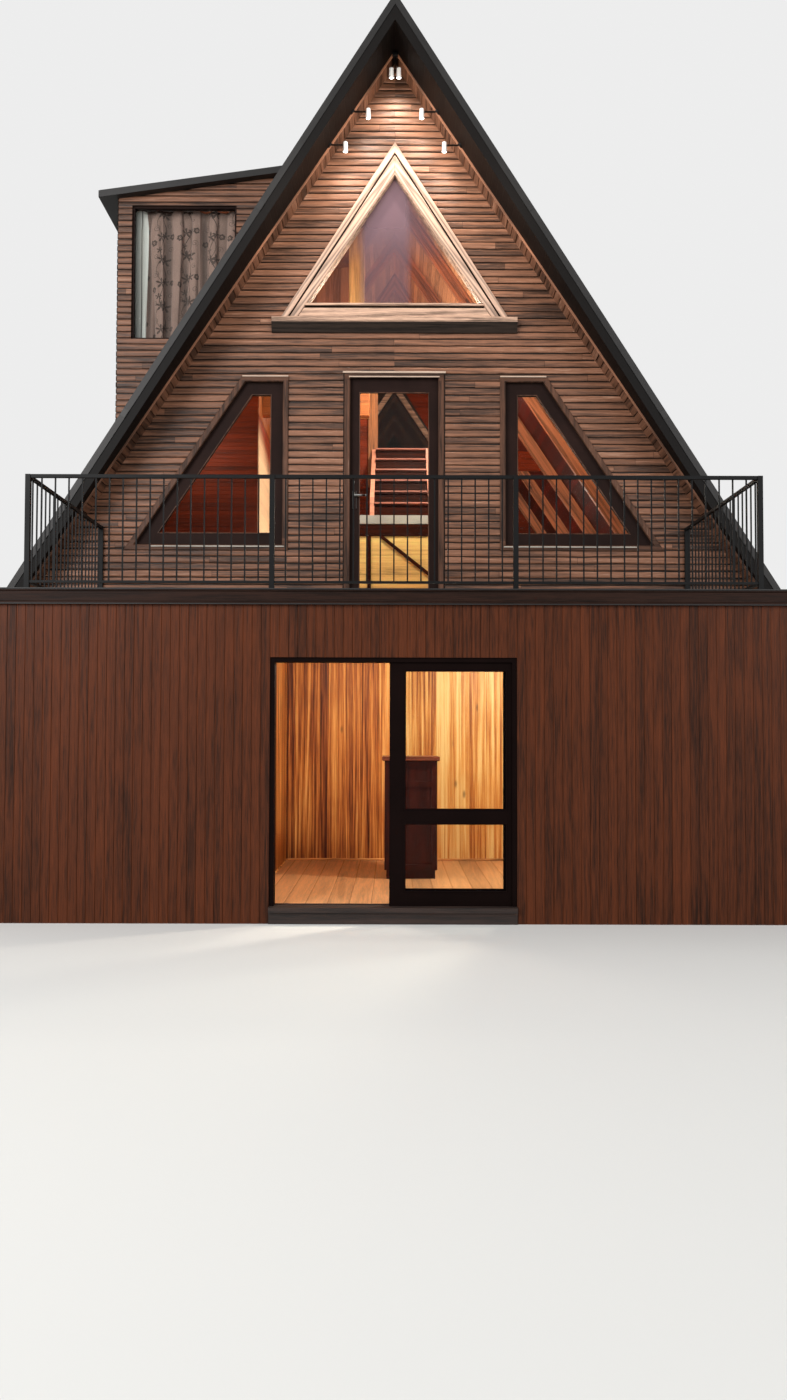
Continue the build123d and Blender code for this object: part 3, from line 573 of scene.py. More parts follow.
def cloth(name, colour):
    """Taupe cotton: plain weave, a white side border, and a printed vine with curls, leaves and flowers."""
    f = Finish(name)
    flat = f.node("ShaderNodeUVMap", {"uv_map": "cut"}).outputs[0]
    u, v = f.part_of(flat, "X"), f.part_of(flat, "Y")
    place = (u + 0.10) / PRINT_WIDTH
    x = (place.part() - 0.5) * PRINT_WIDTH
    drop = (place.whole() * 0.5).part() * (PRINT_HEIGHT * 0.22)
    y = (((v + drop) / PRINT_HEIGHT).part() - 0.5) * PRINT_HEIGHT
    fray = f.noise(f.vector(u * 60.0, v * 60.0))
    wobble = (fray - 0.5) * 0.012

    def away(place_x, place_y):
        """Distance from a point of the repeat."""
        return ((x - place_x) ** 2.0 + (y - place_y) ** 2.0) ** 0.5

    turn = 2 * math.pi / PRINT_HEIGHT
    stem = (x - (y * turn).wave() * 0.050 + wobble * 0.6).size()
    ink = stem.ramp(0.0065, 0.0035)
    twin = (x - (y * turn + 2.3).wave() * 0.062 + 0.030 - wobble).size()
    ink = ink.most(twin.ramp(0.0052, 0.0024) * 0.85)
    for place_x, place_y, radius in CURLS:
        reach, turned = away(place_x, place_y), f.angle(x - place_x, y - place_y)
        lane = ((reach + wobble * 0.4) / 0.026 + turned * (math.copysign(0.5, place_x) / math.pi)).part()
        ink = ink.most((lane - 0.5).size().ramp(0.14, 0.07) * reach.ramp(radius, radius - 0.003) * 0.9)
    for place_x, place_y in FLOWERS:
        reach = away(place_x, place_y) + wobble * 0.8
        petals = f.petals(x - place_x, y - place_y, 6.0)
        flower = (reach - 0.036 - petals * 0.004).ramp(0.003, -0.001) * (reach - 0.013).ramp(-0.001, 0.003)
        ink = ink.most(flower * 0.95)
        ink = ink.most((reach - 0.006).ramp(0.002, -0.001))
    for place_x, place_y, size in LEAVES:
        points = f.petals(x - place_x, y - place_y, 5.0) * 0.030 * size
        leaf = away(place_x, place_y) - 0.038 * size - points + wobble * 1.4
        ink = ink.most(leaf.ramp(0.004, -0.002) * 0.92)
    warp = (u * (2 * math.pi / THREAD)).wave() * 0.5
    weft = (v * (2 * math.pi / THREAD)).wave() * 0.5
    slub = f.noise(f.vector(u * 300.0, v * 18.0), 1.0, 3.0)
    fade = f.noise(f.position(), 2.5, 3.0)
    ground = f.tinted(0.5 + (slub - 0.5) * 0.5 + (fade - 0.5) * 0.5, colour, 0.80, 1.14, (0.2, 0.5, 0.8))
    hem = u.ramp(HEM + 0.002, HEM)
    seam = (u - HEM * 0.62).size().ramp(0.010, 0.006)
    # Painted shade in the folds' hollows, taken from the curtain mesh's attribute.
    ground = f.mix(f.attribute("painted_fold_shade") * 0.72, ground, screen(*toned(colour, 0.42)))
    ground = f.mix(hem, ground, screen(0.97, 0.96, 0.93))
    ground = f.mix(hem * seam * 0.85, ground, screen(0.22, 0.20, 0.18))
    shade = f.mix(ink * (1 - hem) * 0.86, ground, screen(0.17, 0.12, 0.10))
    return f.paint(Base_Color=shade, Sheen_Weight=0.25, Roughness=0.85 + (slub - 0.5) * 0.1,
                   Normal=f.relief(warp * weft + slub * 0.5, 0.0006, 0.5))


# Mesh helpers


class Side:
    """A flat side that boards or shingles lie on.

    u runs to the right along it, w up it, and depth off it.
    """

    def __init__(self, corner, right, up):
        right = Vector(right).normalized()
        up = Vector(up).normalized()
        turn = Matrix((right, up, right.cross(up))).transposed()
        self.place = Matrix.Translation(corner) @ turn.to_4x4()


def front_facing(y):
    """An upright side at the depth y that faces the front."""
    return Side((0.0, y, 0.0), (1, 0, 0), (0, 0, 1))


def rear_facing(y):
    """An upright side at the depth y that faces the rear."""
    return Side((0.0, y, 0.0), (-1, 0, 0), (0, 0, 1))


def add(target, source, place=None):
    """Adds one bmesh to another, with its layers, moved by place."""
    if place is not None:
        source.transform(place)
    mesh = bpy.data.meshes.new("passing")
    source.to_mesh(mesh)
    source.free()
    target.from_mesh(mesh)
    bpy.data.meshes.remove(mesh)


def cut(bm, point, outward):
    """Clears what lies on the outward side of a plane."""
    geometry = bm.verts[:] + bm.edges[:] + bm.faces[:]
    bmesh.ops.bisect_plane(bm, geom=geometry, dist=1e-5, plane_co=point, plane_no=outward,
                           clear_outer=True)


def trim(bm, corners):
    """Keeps what lies inside a convex outline of (u, w) corners, given anticlockwise."""
    for (u0, w0), (u1, w1) in zip(corners, corners[1:] + corners[:1]):
        cut(bm, (u0, w0, 0.0), (w1 - w0, u0 - u1, 0.0))


def piece(name, bm, material, body=HOUSE, replaces=(), smooth=False):
    """Makes a finished piece of a bmesh whose points are already in place."""
    mesh = bpy.data.meshes.new(name)
    for face in bm.faces:
        face.smooth = smooth
    bm.to_mesh(mesh)
    bm.free()
    mesh.materials.append(material)
    made = bpy.data.objects.new(name, mesh)
    bpy.context.collection.objects.link(made)
    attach(made, body)
    if replaces:
        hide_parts(*replaces)
    return made


def new_boards():
    """An empty bmesh whose layers tell a board's own tone, and how far up the board a point is."""
    bm = bmesh.new()
    bm.verts.layers.float.new("board")
    bm.verts.layers.float.new("across")
    return bm


def mark(bm, verts, tone=0.5):
    """Gives points a board's tone, and puts them in the middle of its height."""
    board, across = bm.verts.layers.float["board"], bm.verts.layers.float["across"]
    for vert in verts:
        vert[board] = tone
        vert[across] = 0.5


def chamfered(bm, edges, width):
    bmesh.ops.bevel(bm, geom=list(edges), offset=width, offset_type="OFFSET", segments=1, profile=0.5,
                    affect="EDGES", material=-1)


def block(bm, low, high, chamfer=0.0, tone=0.5):
    """A box between two corners, its edges chamfered."""
    low, high = Vector(low), Vector(high)
    made = bmesh.ops.create_cube(bm, size=1.0)["verts"]
    bmesh.ops.scale(bm, vec=high - low, verts=made)
    bmesh.ops.translate(bm, vec=(low + high) / 2, verts=made)
    mark(bm, made, tone)
    if chamfer:
        chamfered(bm, {edge for vert in made for edge in vert.link_edges}, chamfer)


def box_piece(name, material, slot, *boxes):
    """A piece made of boxes, each given by its two corners and its chamfer."""
    bm = new_boards()
    for low, high, chamfer in boxes:
        block(bm, low, high, chamfer)
    piece(name, bm, finish(material))


def slab(bm, side, corners, low, high, chamfer=0.0):
    """A flat board of a given outline, from one depth off a side to another."""
    part = new_boards()
    face = part.faces.new([part.verts.new((u, w, low)) for u, w in corners])
    face.normal_update()
    top = [made for made in bmesh.ops.extrude_face_region(part, geom=[face])["geom"]
           if isinstance(made, bmesh.types.BMVert)]
    bmesh.ops.translate(part, vec=(0.0, 0.0, high - low), verts=top)
    bmesh.ops.recalc_face_normals(part, faces=part.faces)
    if chamfer:
        chamfered(part, [edge for edge in part.edges if all(vert in top for vert in edge.verts)], chamfer)
    mark(part, part.verts)
    add(bm, part, side.place)


def bar(bm, start, end, width, depth, face, chamfer=0.002):
    """A straight bar between two points, its depth along the direction face."""
    start, end = Vector(start), Vector(end)
    run = (end - start).normalized()
    face = Vector(face).normalized()
    turn = Matrix((run.cross(face), face, run)).transposed().to_4x4()
    part = new_boards()
    block(part, (-width / 2, -depth / 2, 0.0), (width / 2, depth / 2, (end - start).length), chamfer)
    add(bm, part, Matrix.Translation(start) @ turn)


def taper(bm, place, segments, radius1, radius2, depth):
    """A round bar with a radius at either end, put in its place by a matrix."""
    part = new_boards()
    bmesh.ops.create_cone(part, cap_ends=True, segments=segments, radius1=radius1, radius2=radius2,
                          depth=depth)
    add(bm, part, place)


def extent(corners):
    """The least and most u, then the least and most w, of an outline."""
    across, up = [u for u, w in corners], [w for u, w in corners]
    return min(across), max(across), min(up), max(up)


# Rough gable boards


def board_ends(course, low, high, seed):
    """Where one course's boards begin and end."""
    dice = random.Random(seed * 1000 + course)
    start = -12.0 + dice.random() * 3.4
    while start < high:
        end = start + dice.uniform(2.2, 4.6)
        if end > low:
            yield max(start, low - 0.02), min(end, high + 0.02), dice.random()
        start = end + 0.003
        dice.random()


def rough_board(bm, start, end, course, tone, seed):
    """One sawn board: a grid with a flat face and wandering edges, roughest low on the wall."""
    s = sizes()
    layer, across = bm.verts.layers.float["board"], bm.verts.layers.float["across"]
    steps = max(1, round((end - start) / 0.08))
    made = bmesh.ops.create_grid(bm, x_segments=steps, y_segments=7, size=0.5)["verts"]
    height = s.siding_pitch - s.siding_gap
    level = course * s.siding_pitch
    rough = min(1.3, max(0.4, (8.2 - level) / 2.2))
    bulge = s.siding_thickness * (0.80 + 0.20 * tone)
    for vert in made:
        reach = 2 * vert.co.y
        share = 0.5 + 0.5 * math.copysign(1 - (1 - abs(reach)) ** 3.2, reach)
        u = start + (vert.co.x + 0.5) * (end - start)
        wander = noise.noise((u * 2.3, course * 5.3 + share * 2.4, seed))
        ripple = noise.noise((u * 8.0, course * 3.1 + share * 3.0, seed + 9.0))
        edge = abs(2 * share - 1) ** 24
        vert[layer] = tone
        vert[across] = share
        vert.co.x = u
        vert.co.y = level + s.siding_gap / 2 + share * height + rough * (0.0050 * wander + 0.0030 * ripple)
        vert.co.z = bulge * (1.0 - 0.9 * edge) + rough * (0.0014 * ripple * (1 - edge) + 0.0012 * wander)


def rough_boards(target, side, corners, seed):
    """Horizontal boards over a convex outline."""
    pitch = sizes().siding_pitch
    low_u, high_u, low_w, high_w = extent(corners)
    part = new_boards()
    for course in range(math.floor(low_w / pitch) - 1, math.ceil(high_w / pitch) + 1):
        for start, end, tone in board_ends(course, low_u, high_u, seed):
            rough_board(part, start, end, course, tone, seed)
    trim(part, corners)
    add(target, part, side.place)


def gable_edge(w, margin=0.0):
    """Half the gable's width at the height w, less a margin square to the slope."""
    return (APEX - w) / LEAN - margin / math.sin(PITCH)


# Outlines on the front, in the frame's X and Z

DOOR_TRIM = 0.555
TRIM_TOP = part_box("opening_casings")[1].z - 0.012
WINDOW_IN, WINDOW_OUT = 1.158, 2.90
WINDOW_FOOT, WINDOW_TOP = 3.62, 5.513


def beside_peak(margin=0.0, drop=0.0):
    """The part of a gable right of its peak window, less a margin at the slope and a drop at the apex."""
    foot = PEAK_LOW.z
    return [(PEAK_HALF, foot), (gable_edge(foot, margin), foot), (0.0, APEX - drop), (0.0, PEAK_HIGH.z)]


def front_outlines():
    """The convex parts of the front gable's right half, round its door, window and peak window."""
    foot, sill, peak = TERRACE_TOP, WINDOW_FOOT, PEAK_LOW.z
    slant_top = WINDOW_OUT - (TRIM_TOP - sill) / LEAN
    slant_low = slant_top + (TRIM_TOP - WINDOW_TOP) / LEAN
    yield [(DOOR_TRIM, foot), (WINDOW_IN, foot), (WINDOW_IN, TRIM_TOP), (DOOR_TRIM, TRIM_TOP)]
    yield [(WINDOW_IN, foot), (gable_edge(foot), foot), (gable_edge(sill), sill), (WINDOW_IN, sill)]
    yield [(WINDOW_OUT, sill), (gable_edge(sill), sill), (gable_edge(TRIM_TOP), TRIM_TOP),
           (slant_top, TRIM_TOP)]
    yield [(WINDOW_IN, WINDOW_TOP), (slant_low, WINDOW_TOP), (slant_top, TRIM_TOP), (WINDOW_IN, TRIM_TOP)]
    yield [(0.0, TRIM_TOP), (gable_edge(TRIM_TOP), TRIM_TOP), (gable_edge(peak), peak), (0.0, peak)]
    yield beside_peak()


def mirrored(corners):
    return [(-u, w) for u, w in reversed(corners)]


def gable_boards():
    """Rough boards on the front and rear gables."""
    material = finish("gable_boards")
    front = front_facing(GABLE_FRONT)
    bm = new_boards()
    for corners in front_outlines():
        rough_boards(bm, front, corners, seed=3)
        rough_boards(bm, front, mirrored(corners), seed=3)
    piece("front_gable_boards", bm, material, smooth=True)
    rear = rear_facing(REAR_GABLE)
    bm = new_boards()
    foot, peak = TERRACE_TOP, PEAK_LOW.z
    whole = [(-gable_edge(foot), foot), (gable_edge(foot), foot), (gable_edge(peak), peak),
             (-gable_edge(peak), peak)]
    for corners in (whole, beside_peak(), mirrored(beside_peak())):
        rough_boards(bm, rear, corners, seed=8)
    piece("rear_gable_boards", bm, material, smooth=True)


DORMER_WINDOW_RIGHT = -1.927
DORMER_SILL = 6.455
WINDOW_LAP = 0.02
# How far the roof's outer face lies beyond the gable's foot
ROOF_OUT = 0.17


def over_slope(bm, out=0.0):
    """Keeps what lies over the left slope, or over a plane that far outside it."""
    cut(bm, (-GABLE_FOOT - out, 0.0, TERRACE_TOP), (LEAN, 0.0, -1.0))


def dormer_top(x):
    """The height of the dormer's walls at x."""
    return DORMER_EAVE + (x - DORMER_SIDE) * DORMER_FALL


def dormer_boards():
    """Rough boards on the dormer's outer walls."""
    foot, end = DORMER_LOW.z, DORMER_HIGH.x
    window_low, window_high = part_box("window_frames")
    left, right = window_low.x + WINDOW_LAP, DORMER_WINDOW_RIGHT - WINDOW_LAP
    sill, head = DORMER_SILL, window_high.z - WINDOW_LAP
    front = front_facing(DORMER_FRONT)
    front_walls = [
        [(DORMER_SIDE, foot), (left, foot), (left, dormer_top(left)), (DORMER_SIDE, DORMER_EAVE)],
        [(left, foot), (right, foot), (right, sill), (left, sill)],
        [(left, head), (right, head), (right, dormer_top(right)), (left, dormer_top(left))],
        [(right, foot), (end, foot), (end, dormer_top(end)), (right, dormer_top(right))],
    ]
    rear_wall = [(-end, foot), (-DORMER_SIDE, foot), (-DORMER_SIDE, DORMER_EAVE), (-end, DORMER_HIGH.z)]
    walls = [(front, corners, 5) for corners in front_walls] + [(rear_facing(DORMER_REAR), rear_wall, 6)]
    bm = new_boards()
    for side, corners, seed in walls:
        part = new_boards()
        rough_boards(part, side, corners, seed)
        over_slope(part, ROOF_OUT)
        add(bm, part)
    outer = Side((DORMER_SIDE, 0.0, 0.0), (0, -1, 0), (0, 0, 1))
    rough_boards(bm, outer, [(-DORMER_REAR, foot), (-DORMER_FRONT, foot), (-DORMER_FRONT, DORMER_EAVE),
                             (-DORMER_REAR, DORMER_EAVE)], 7)
    piece("dormer_boards", bm, finish("gable_boards"), smooth=True)


# Upright boards


def upright_boards(target, side, low_u, high_u, low_w, high_w, pitch, thick, seed, chamfer=0.004,
                   sink=0.0, corners=None):
    """Tongue-and-groove boards side by side, each with chamfered edges.

    Their faces lie sink under the plane, or above it where sink is negative. corners trims them.
    """
    dice = random.Random(seed)
    part = new_boards()
    count = max(1, round((high_u - low_u) / pitch))
    width = (high_u - low_u) / count
    middle = -thick / 2 - sink
    for place in range(count):
        u = low_u + place * width
        made = bmesh.ops.create_cube(part, size=1.0)["verts"]
        bmesh.ops.scale(part, vec=(width, high_w - low_w, thick), verts=made)
        bmesh.ops.translate(part, vec=(u + width / 2, (low_w + high_w) / 2, middle), verts=made)
        mark(part, made, dice.random())
        edges = {edge for vert in made for edge in vert.link_edges
                 if all(v.co.z > middle for v in edge.verts)
                 and abs(edge.verts[0].co.x - edge.verts[1].co.x) < 1e-6}
        chamfered(part, edges, chamfer)
    if corners:
        trim(part, corners)
    add(target, part, side.place)


CLADDING_THICK = 0.018
CORNER_BOARD = 0.095


def base_cladding():
    """Upright boards round the base, corner posts as deep as the wall, and plain cores behind."""
    pitch = sizes().cladding_pitch
    material = finish("base_boards")
    core = finish("wall_inside")
    walls = {
        "front_wall_left": ((1, 0, 0), (0, -1, 0)),
        "front_wall_right": ((1, 0, 0), (0, -1, 0)),
        "front_wall_over_door": ((1, 0, 0), (0, -1, 0)),
        "rear_wall": ((-1, 0, 0), (0, 1, 0)),
        "side_wall_left": ((0, -1, 0), (-1, 0, 0)),
        "side_wall_right": ((0, 1, 0), (1, 0, 0)),
    }
    for seed, (name, (right, out)) in enumerate(walls.items()):
        low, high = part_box(name)
        right, out = Vector(right), Vector(out)
        face = Vector(high[k] if out[k] > 0 else low[k] for k in range(3))
        origin = Vector(face[k] if out[k] else 0.0 for k in range(3))
        side = Side(origin, right, (0, 0, 1))
        ends = sorted((low.dot(right), high.dot(right)))
        bm = new_boards()
        start, end = ends
        if name == "front_wall_left":
            start += CORNER_BOARD
        if name == "front_wall_right":
            end -= CORNER_BOARD
        if name == "rear_wall":
            start, end = start + CORNER_BOARD, end - CORNER_BOARD
        upright_boards(bm, side, start, end, low.z, high.z, pitch, CLADDING_THICK, seed)
        depth = abs((high - low).dot(out))
        for u0, u1 in ((ends[0], start), (end, ends[1])):
            if u1 - u0 > 0.01:
                corner = new_boards()
                block(corner, (u0, low.z, -depth), (u1, high.z, 0.0), 0.003, 0.2)
                add(bm, corner, side.place)
        piece(name + "_boards", bm, material, replaces=(name,))
        behind, inner = new_boards(), new_boards()
        block(behind, (start, low.z, -depth), (end, high.z, -CLADDING_THICK))
        add(inner, behind, side.place)
        piece(name + "_core", inner, core)


# Roof covering


def up_slope(z):
    """How far up the roof's slope the height z lies."""
    return (z - TERRACE_TOP) / math.sin(PITCH)


def roof_side(mirror):
    """The plane of the right or left roof slope, and which way its u runs.

    u runs along the eave and w up the slope from the base's level.
    """
    out = Vector((math.sin(PITCH) * mirror, 0.0, math.cos(PITCH)))
    up = Vector((-math.cos(PITCH) * mirror, 0.0, math.sin(PITCH)))
    right = up.cross(out)
    ridge = Vector((0.0, 0.0, ROOF_TOP))
    return Side(ridge - up * up_slope(ROOF_TOP), right, up), right.y


SHINGLE_GAP = 0.006


def shingled(target, side, corners, seed):
    """Courses of shingle tabs over a convex outline, each tab lifted at its lower edge."""
    s = sizes()
    dice = random.Random(seed)
    part = new_boards()
    low_u, high_u, low_w, high_w = extent(corners)
    for course in range(math.floor(low_w / s.shingle_course), math.ceil(high_w / s.shingle_course)):
        u = math.floor(low_u / s.shingle_width) * s.shingle_width - (course % 2) * s.shingle_width / 2
        while u < high_u:
            made = bmesh.ops.create_cube(part, size=1.0)["verts"]
            tone = dice.random()
            lift = 0.0055 + 0.0015 * tone
            drop = 0.004 * dice.random()
            mark(part, made, tone)
            for vert in made:
                upper = vert.co.y > 0
                top = (0.0012 if upper else lift) if vert.co.z > 0 else -0.002
                rise = (course + (1.02 if upper else 0.0)) * s.shingle_course - (0 if upper else drop)
                vert.co = (u + (vert.co.x + 0.5) * (s.shingle_width - SHINGLE_GAP), rise, top)
            u += s.shingle_width
    trim(part, corners)
    add(target, part, side.place)


VERGE_FLANGE = 0.09
DORMER_SHINGLES_FROM = 8.66
DORMER_FLASHING_TO = 8.60
FIRST_SHINGLE_SEED = 11


def roof_shingles():
    """Shingles on both slopes, left out where the dormer stands."""
    material = finish("shingles")
    length = up_slope(ROOF_TOP)
    for mirror, name in ((1, "right"), (-1, "left")):
        side, toward = roof_side(mirror)
        bm = new_boards()
        inset = VERGE_FLANGE + 0.003
        foot_y, ridge_y = FRONT_FOOT + inset, FRONT_RIDGE + inset
        back_foot, back_ridge = REAR_FOOT - inset, REAR_RIDGE - inset

        def front(w):
            return foot_y + (ridge_y - foot_y) * w / length

        def back(w):
            return back_foot + (back_ridge - back_foot) * w / length

        top = length - 0.14
        if mirror > 0:
            outlines = [[(front(0.0), 0.0), (back(0.0), 0.0), (back(top), top), (front(top), top)]]
        else:
            foot = up_slope(DORMER_LOW.z) + 0.02
            high = up_slope(DORMER_SHINGLES_FROM)
            outlines = [
                [(front(0.0), 0.0), (DORMER_FRONT, 0.0), (DORMER_FRONT, top), (front(top), top)],
                [(DORMER_REAR, 0.0), (back(0.0), 0.0), (back(top), top), (DORMER_REAR, top)],
                [(DORMER_FRONT, 0.0), (DORMER_REAR, 0.0), (DORMER_REAR, foot), (DORMER_FRONT, foot)],
                [(DORMER_FRONT, high), (DORMER_REAR, high), (DORMER_REAR, top), (DORMER_FRONT, top)],
            ]
        for number, corners in enumerate(outlines):
            corners = [(y * toward, w) for y, w in corners]
            if toward < 0:
                corners.reverse()
            shingled(bm, side, corners, number + FIRST_SHINGLE_SEED)
        piece(name + "_slope_shingles", bm, material)


SEAM_BAYS = 6


def dormer_seams():
    """Standing seams on the dormer's low roof."""
    low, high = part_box("dormer_roof")
    bm = new_boards()
    fall = (high.z - 0.005 - (low.z + 0.08)) / (high.x - low.x)
    for place in range(SEAM_BAYS + 1):
        y = low.y + 0.03 + (high.y - low.y - 0.06) * place / SEAM_BAYS
        start = Vector((low.x + 0.01, y, low.z + 0.085))
        end = Vector((high.x - 0.10, y, low.z + 0.085 + fall * (high.x - low.x - 0.11)))
        bar(bm, start, end, 0.022, 0.024, (0, 0, 1), 0.003)
    piece("dormer_roof_seams", bm, finish("flashing"))


def dormer_flashing():
    """Metal strips where the dormer's foot and its front and rear walls meet the left slope's shingles."""
    side, toward = roof_side(-1)
    bm = new_boards()
    foot = up_slope(ROOF_TOP - LEAN * -DORMER_SIDE)
    head = up_slope(DORMER_FLASHING_TO)
    wide = 0.075
    for y0, y1, w0, w1 in ((DORMER_FRONT - wide, DORMER_REAR + wide, foot - wide, foot),
                           (DORMER_FRONT - wide, DORMER_FRONT, foot, head),
                           (DORMER_REAR, DORMER_REAR + wide, foot, head)):
        u0, u1 = sorted((y0 * toward, y1 * toward))
        slab(bm, side, [(u0, w0), (u1, w0), (u1, w1), (u0, w1)], 0.002, 0.0105, 0.0015)
    piece("dormer_flashing", bm, finish("flashing"))


# Trim


def deep(y):
    """A depth given from the front face of the base."""
    return BASE_FRONT + y


def ring(target, side, corners, steps):
    """A frame grown inwards from an outline. Each step goes in by a width and off the side by a lift."""
    part = new_boards()
    face = part.faces.new([part.verts.new((u, w, 0.0)) for u, w in corners])
    for width, lift in [(EDGE, 0.0)] + steps:
        bmesh.ops.inset_region(part, faces=[face], thickness=width, depth=lift, use_even_offset=True,
                               use_boundary=True)
    bmesh.ops.delete(part, geom=[face], context="FACES_ONLY")
    mark(part, part.verts)
    add(target, part, side.place)


EDGE = 0.0006
PEAK_FOOT = PEAK_LOW.z + 0.158
PEAK_CASING = (8.100, 1.244)
PEAK_GROOVE = (7.986, 1.172)
PEAK_BOARD = (7.955, 1.150)
PEAK_OPENING = (7.742, 1.065)
PEAK_CAP = 1.338


def peak_trim():
    """The peak windows' casings, stiles, bottom rail and sill cap on both gables, with dark strips of
    painted shade in the groove and across the bottom rail.

    Each line of the trim is given by its height at the tip and its half width at the foot.
    """
    stiles, level, dark = new_boards(), new_boards(), new_boards()
    for side in (front_facing(GABLE_FRONT), rear_facing(REAR_GABLE)):
        for bm, outer, inner, low, high, chamfer in (
                (stiles, PEAK_CASING, PEAK_GROOVE, 0.0, 0.052, 0.004),
                # Painted shade: a dark strip in the groove between the casing and the board.
                (dark, PEAK_GROOVE, PEAK_BOARD, 0.030, 0.0405, 0.0),
                (stiles, PEAK_BOARD, PEAK_OPENING, 0.036, 0.054, 0.006)):
            corners = [(outer[1], PEAK_FOOT), (0.0, outer[0]), (0.0, inner[0]), (inner[1], PEAK_FOOT)]
            slab(bm, side, corners, low, high, chamfer)
            slab(bm, side, mirrored(corners), low, high, chamfer)
        for bm, half, low, high, depth in (
                (level, 1.050, 0.016, 0.112, 0.047),
                # Painted shade: a dark line across the bottom rail.
                (dark, 0.99, 0.110, 0.136, 0.041),
                (level, 0.978, 0.134, 0.160, 0.064),
                (level, 1.19, 0.0, 0.016, 0.060)):
            low, high = low + PEAK_FOOT, high + PEAK_FOOT
            reach = half - (high - low) / LEAN
            slab(bm, side, [(-half, low), (half, low), (reach, high), (-reach, high)], 0.030, depth, 0.003)
        low, high = PEAK_FOOT - 0.040, PEAK_FOOT + 0.003
        cap = [(-PEAK_CAP, low), (PEAK_CAP, low), (PEAK_CAP, high), (-PEAK_CAP, high)]
        slab(level, side, cap, 0.030, 0.081, 0.004)
    piece("peak_stiles", stiles, finish("peak_stiles"))
    piece("peak_rails", level, finish("peak_timber"))
    piece("peak_grooves", dark, finish("dark_gap"))


SOFFIT_RETURN = 0.235


def soffit_returns():
    """Short boards that carry the gables' courses out along the roof's underside, and a thin lath."""
    s = sizes()
    dice = random.Random(41)
    boards, laths = new_boards(), new_boards()
    gap = s.siding_gap / 2
    length = up_slope(APEX)
    for wall, away in ((GABLE_FRONT, -1), (REAR_GABLE, 1)):
        for mirror in (1, -1):
            down = (math.cos(PITCH) * mirror, 0, -math.sin(PITCH))
            side = Side((0.0, wall, APEX), (0, mirror, 0), down)
            reach = away * mirror
            near, far = sorted((0.0, reach * SOFFIT_RETURN))
            courses = range(math.ceil(TERRACE_TOP / s.siding_pitch), math.floor(APEX / s.siding_pitch))
            for course in courses:
                high = (APEX - course * s.siding_pitch - gap) / math.sin(PITCH)
                low = (APEX - (course + 1) * s.siding_pitch + gap) / math.sin(PITCH)
                if low < 0.02:
                    continue
                part = new_boards()
                thick = 0.013 + 0.004 * dice.random()
                block(part, (near, low, 0.0), (far, high, thick), 0.002, dice.random())
                add(boards, part, side.place)
            part = new_boards()
            near, far = sorted((reach * SOFFIT_RETURN, reach * (SOFFIT_RETURN + 0.012)))
            block(part, (near, 0.03, 0.0), (far, length, 0.022), 0.002)
            add(laths, part, side.place)
    piece("soffit_return_boards", boards, finish("return_boards"))
    piece("soffit_return_laths", laths, finish("batten_timber"))


DOOR_FACE = deep(2.375)
GLASS_HIGH_OUTER = 1.555
GLASS_LOW_OUTER = 2.577
GLASS_INNER = 1.341
GLASS_LOW, GLASS_HIGH = 0.935, 2.465


def glazing_beads():
    """Small chamfered beads round the panes of the side windows, the balcony door and the ground door."""
    bm = new_boards()
    bead = [(EDGE, 0.007), (0.006, 0.0), (0.004, -0.004)]
    low, high = TERRACE_TOP + GLASS_LOW, TERRACE_TOP + GLASS_HIGH
    window = [(GLASS_INNER, low), (GLASS_LOW_OUTER, low), (GLASS_HIGH_OUTER, high), (GLASS_INNER, high)]
    upper = front_facing(deep(2.370))
    ring(bm, upper, grown(window, 0.016), bead)
    ring(bm, upper, mirrored(grown(window, 0.016)), bead)
    ring(bm, front_facing(DOOR_FACE), grown(rectangle(-0.382, 0.382, 3.180, 5.354), 0.016), bead)
    piece("upper_glazing_beads", bm, finish("casing_timber"))
    bm = new_boards()
    leaf = front_facing(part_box("fixed_leaf")[0].y)
    for low, high in ((0.266, 0.856), (0.967, 2.168)):
        pane = grown(rectangle(0.094, 0.978, low, high), 0.014)
        ring(bm, leaf, pane, [(EDGE, 0.006), (0.008, 0.0), (0.005, -0.005)])
    piece("ground_door_beads", bm, finish("dark_frame"))


def rectangle(left, right, low, high):
    return [(left, low), (right, low), (right, high), (left, high)]


def grown(corners, margin):
    """An outline moved outwards all round by a margin."""
    part = bmesh.new()
    face = part.faces.new([part.verts.new((u, w, 0.0)) for u, w in corners])
    bmesh.ops.inset_region(part, faces=[face], thickness=-margin, depth=0.0, use_even_offset=True,
                           use_boundary=True)
    moved = [(loop.vert.co.x, loop.vert.co.y) for loop in face.loops]
    part.free()
    return moved


WINDOW_SILL = 3.641
DOOR_HEAD, DOOR_HALF = 5.500, 0.495


def head_mouldings():
    """Thin mouldings at the heads of the door's and windows' casings, pale with painted light on their
    tops, and strips at the windows' feet.
    """
    bm = new_boards()
    low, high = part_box("opening_casings")
    front = low.y
    back, wide = front + 0.004, DOOR_TRIM + 0.006
    block(bm, (-wide, front - 0.014, high.z - 0.020), (wide, back, high.z), 0.003)
    block(bm, (-DOOR_HALF, front - 0.009, DOOR_HEAD), (DOOR_HALF, back, DOOR_HEAD + 0.014), 0.003)
    for mirror in (1, -1):
        ends = sorted((mirror * 1.152, mirror * 1.655))
        block(bm, (ends[0], front - 0.010, WINDOW_TOP - 0.010), (ends[1], back, WINDOW_TOP + 0.005), 0.003)
    piece("head_mouldings", bm, finish("pale_trim"))
    bm = new_boards()
    for mirror in (1, -1):
        ends = sorted((mirror * 1.190, mirror * 2.630))
        block(bm, (ends[0], front - 0.010, WINDOW_SILL), (ends[1], back, WINDOW_SILL + 0.012), 0.002)
    piece("window_sill_strips", bm, finish("worn_grey"))


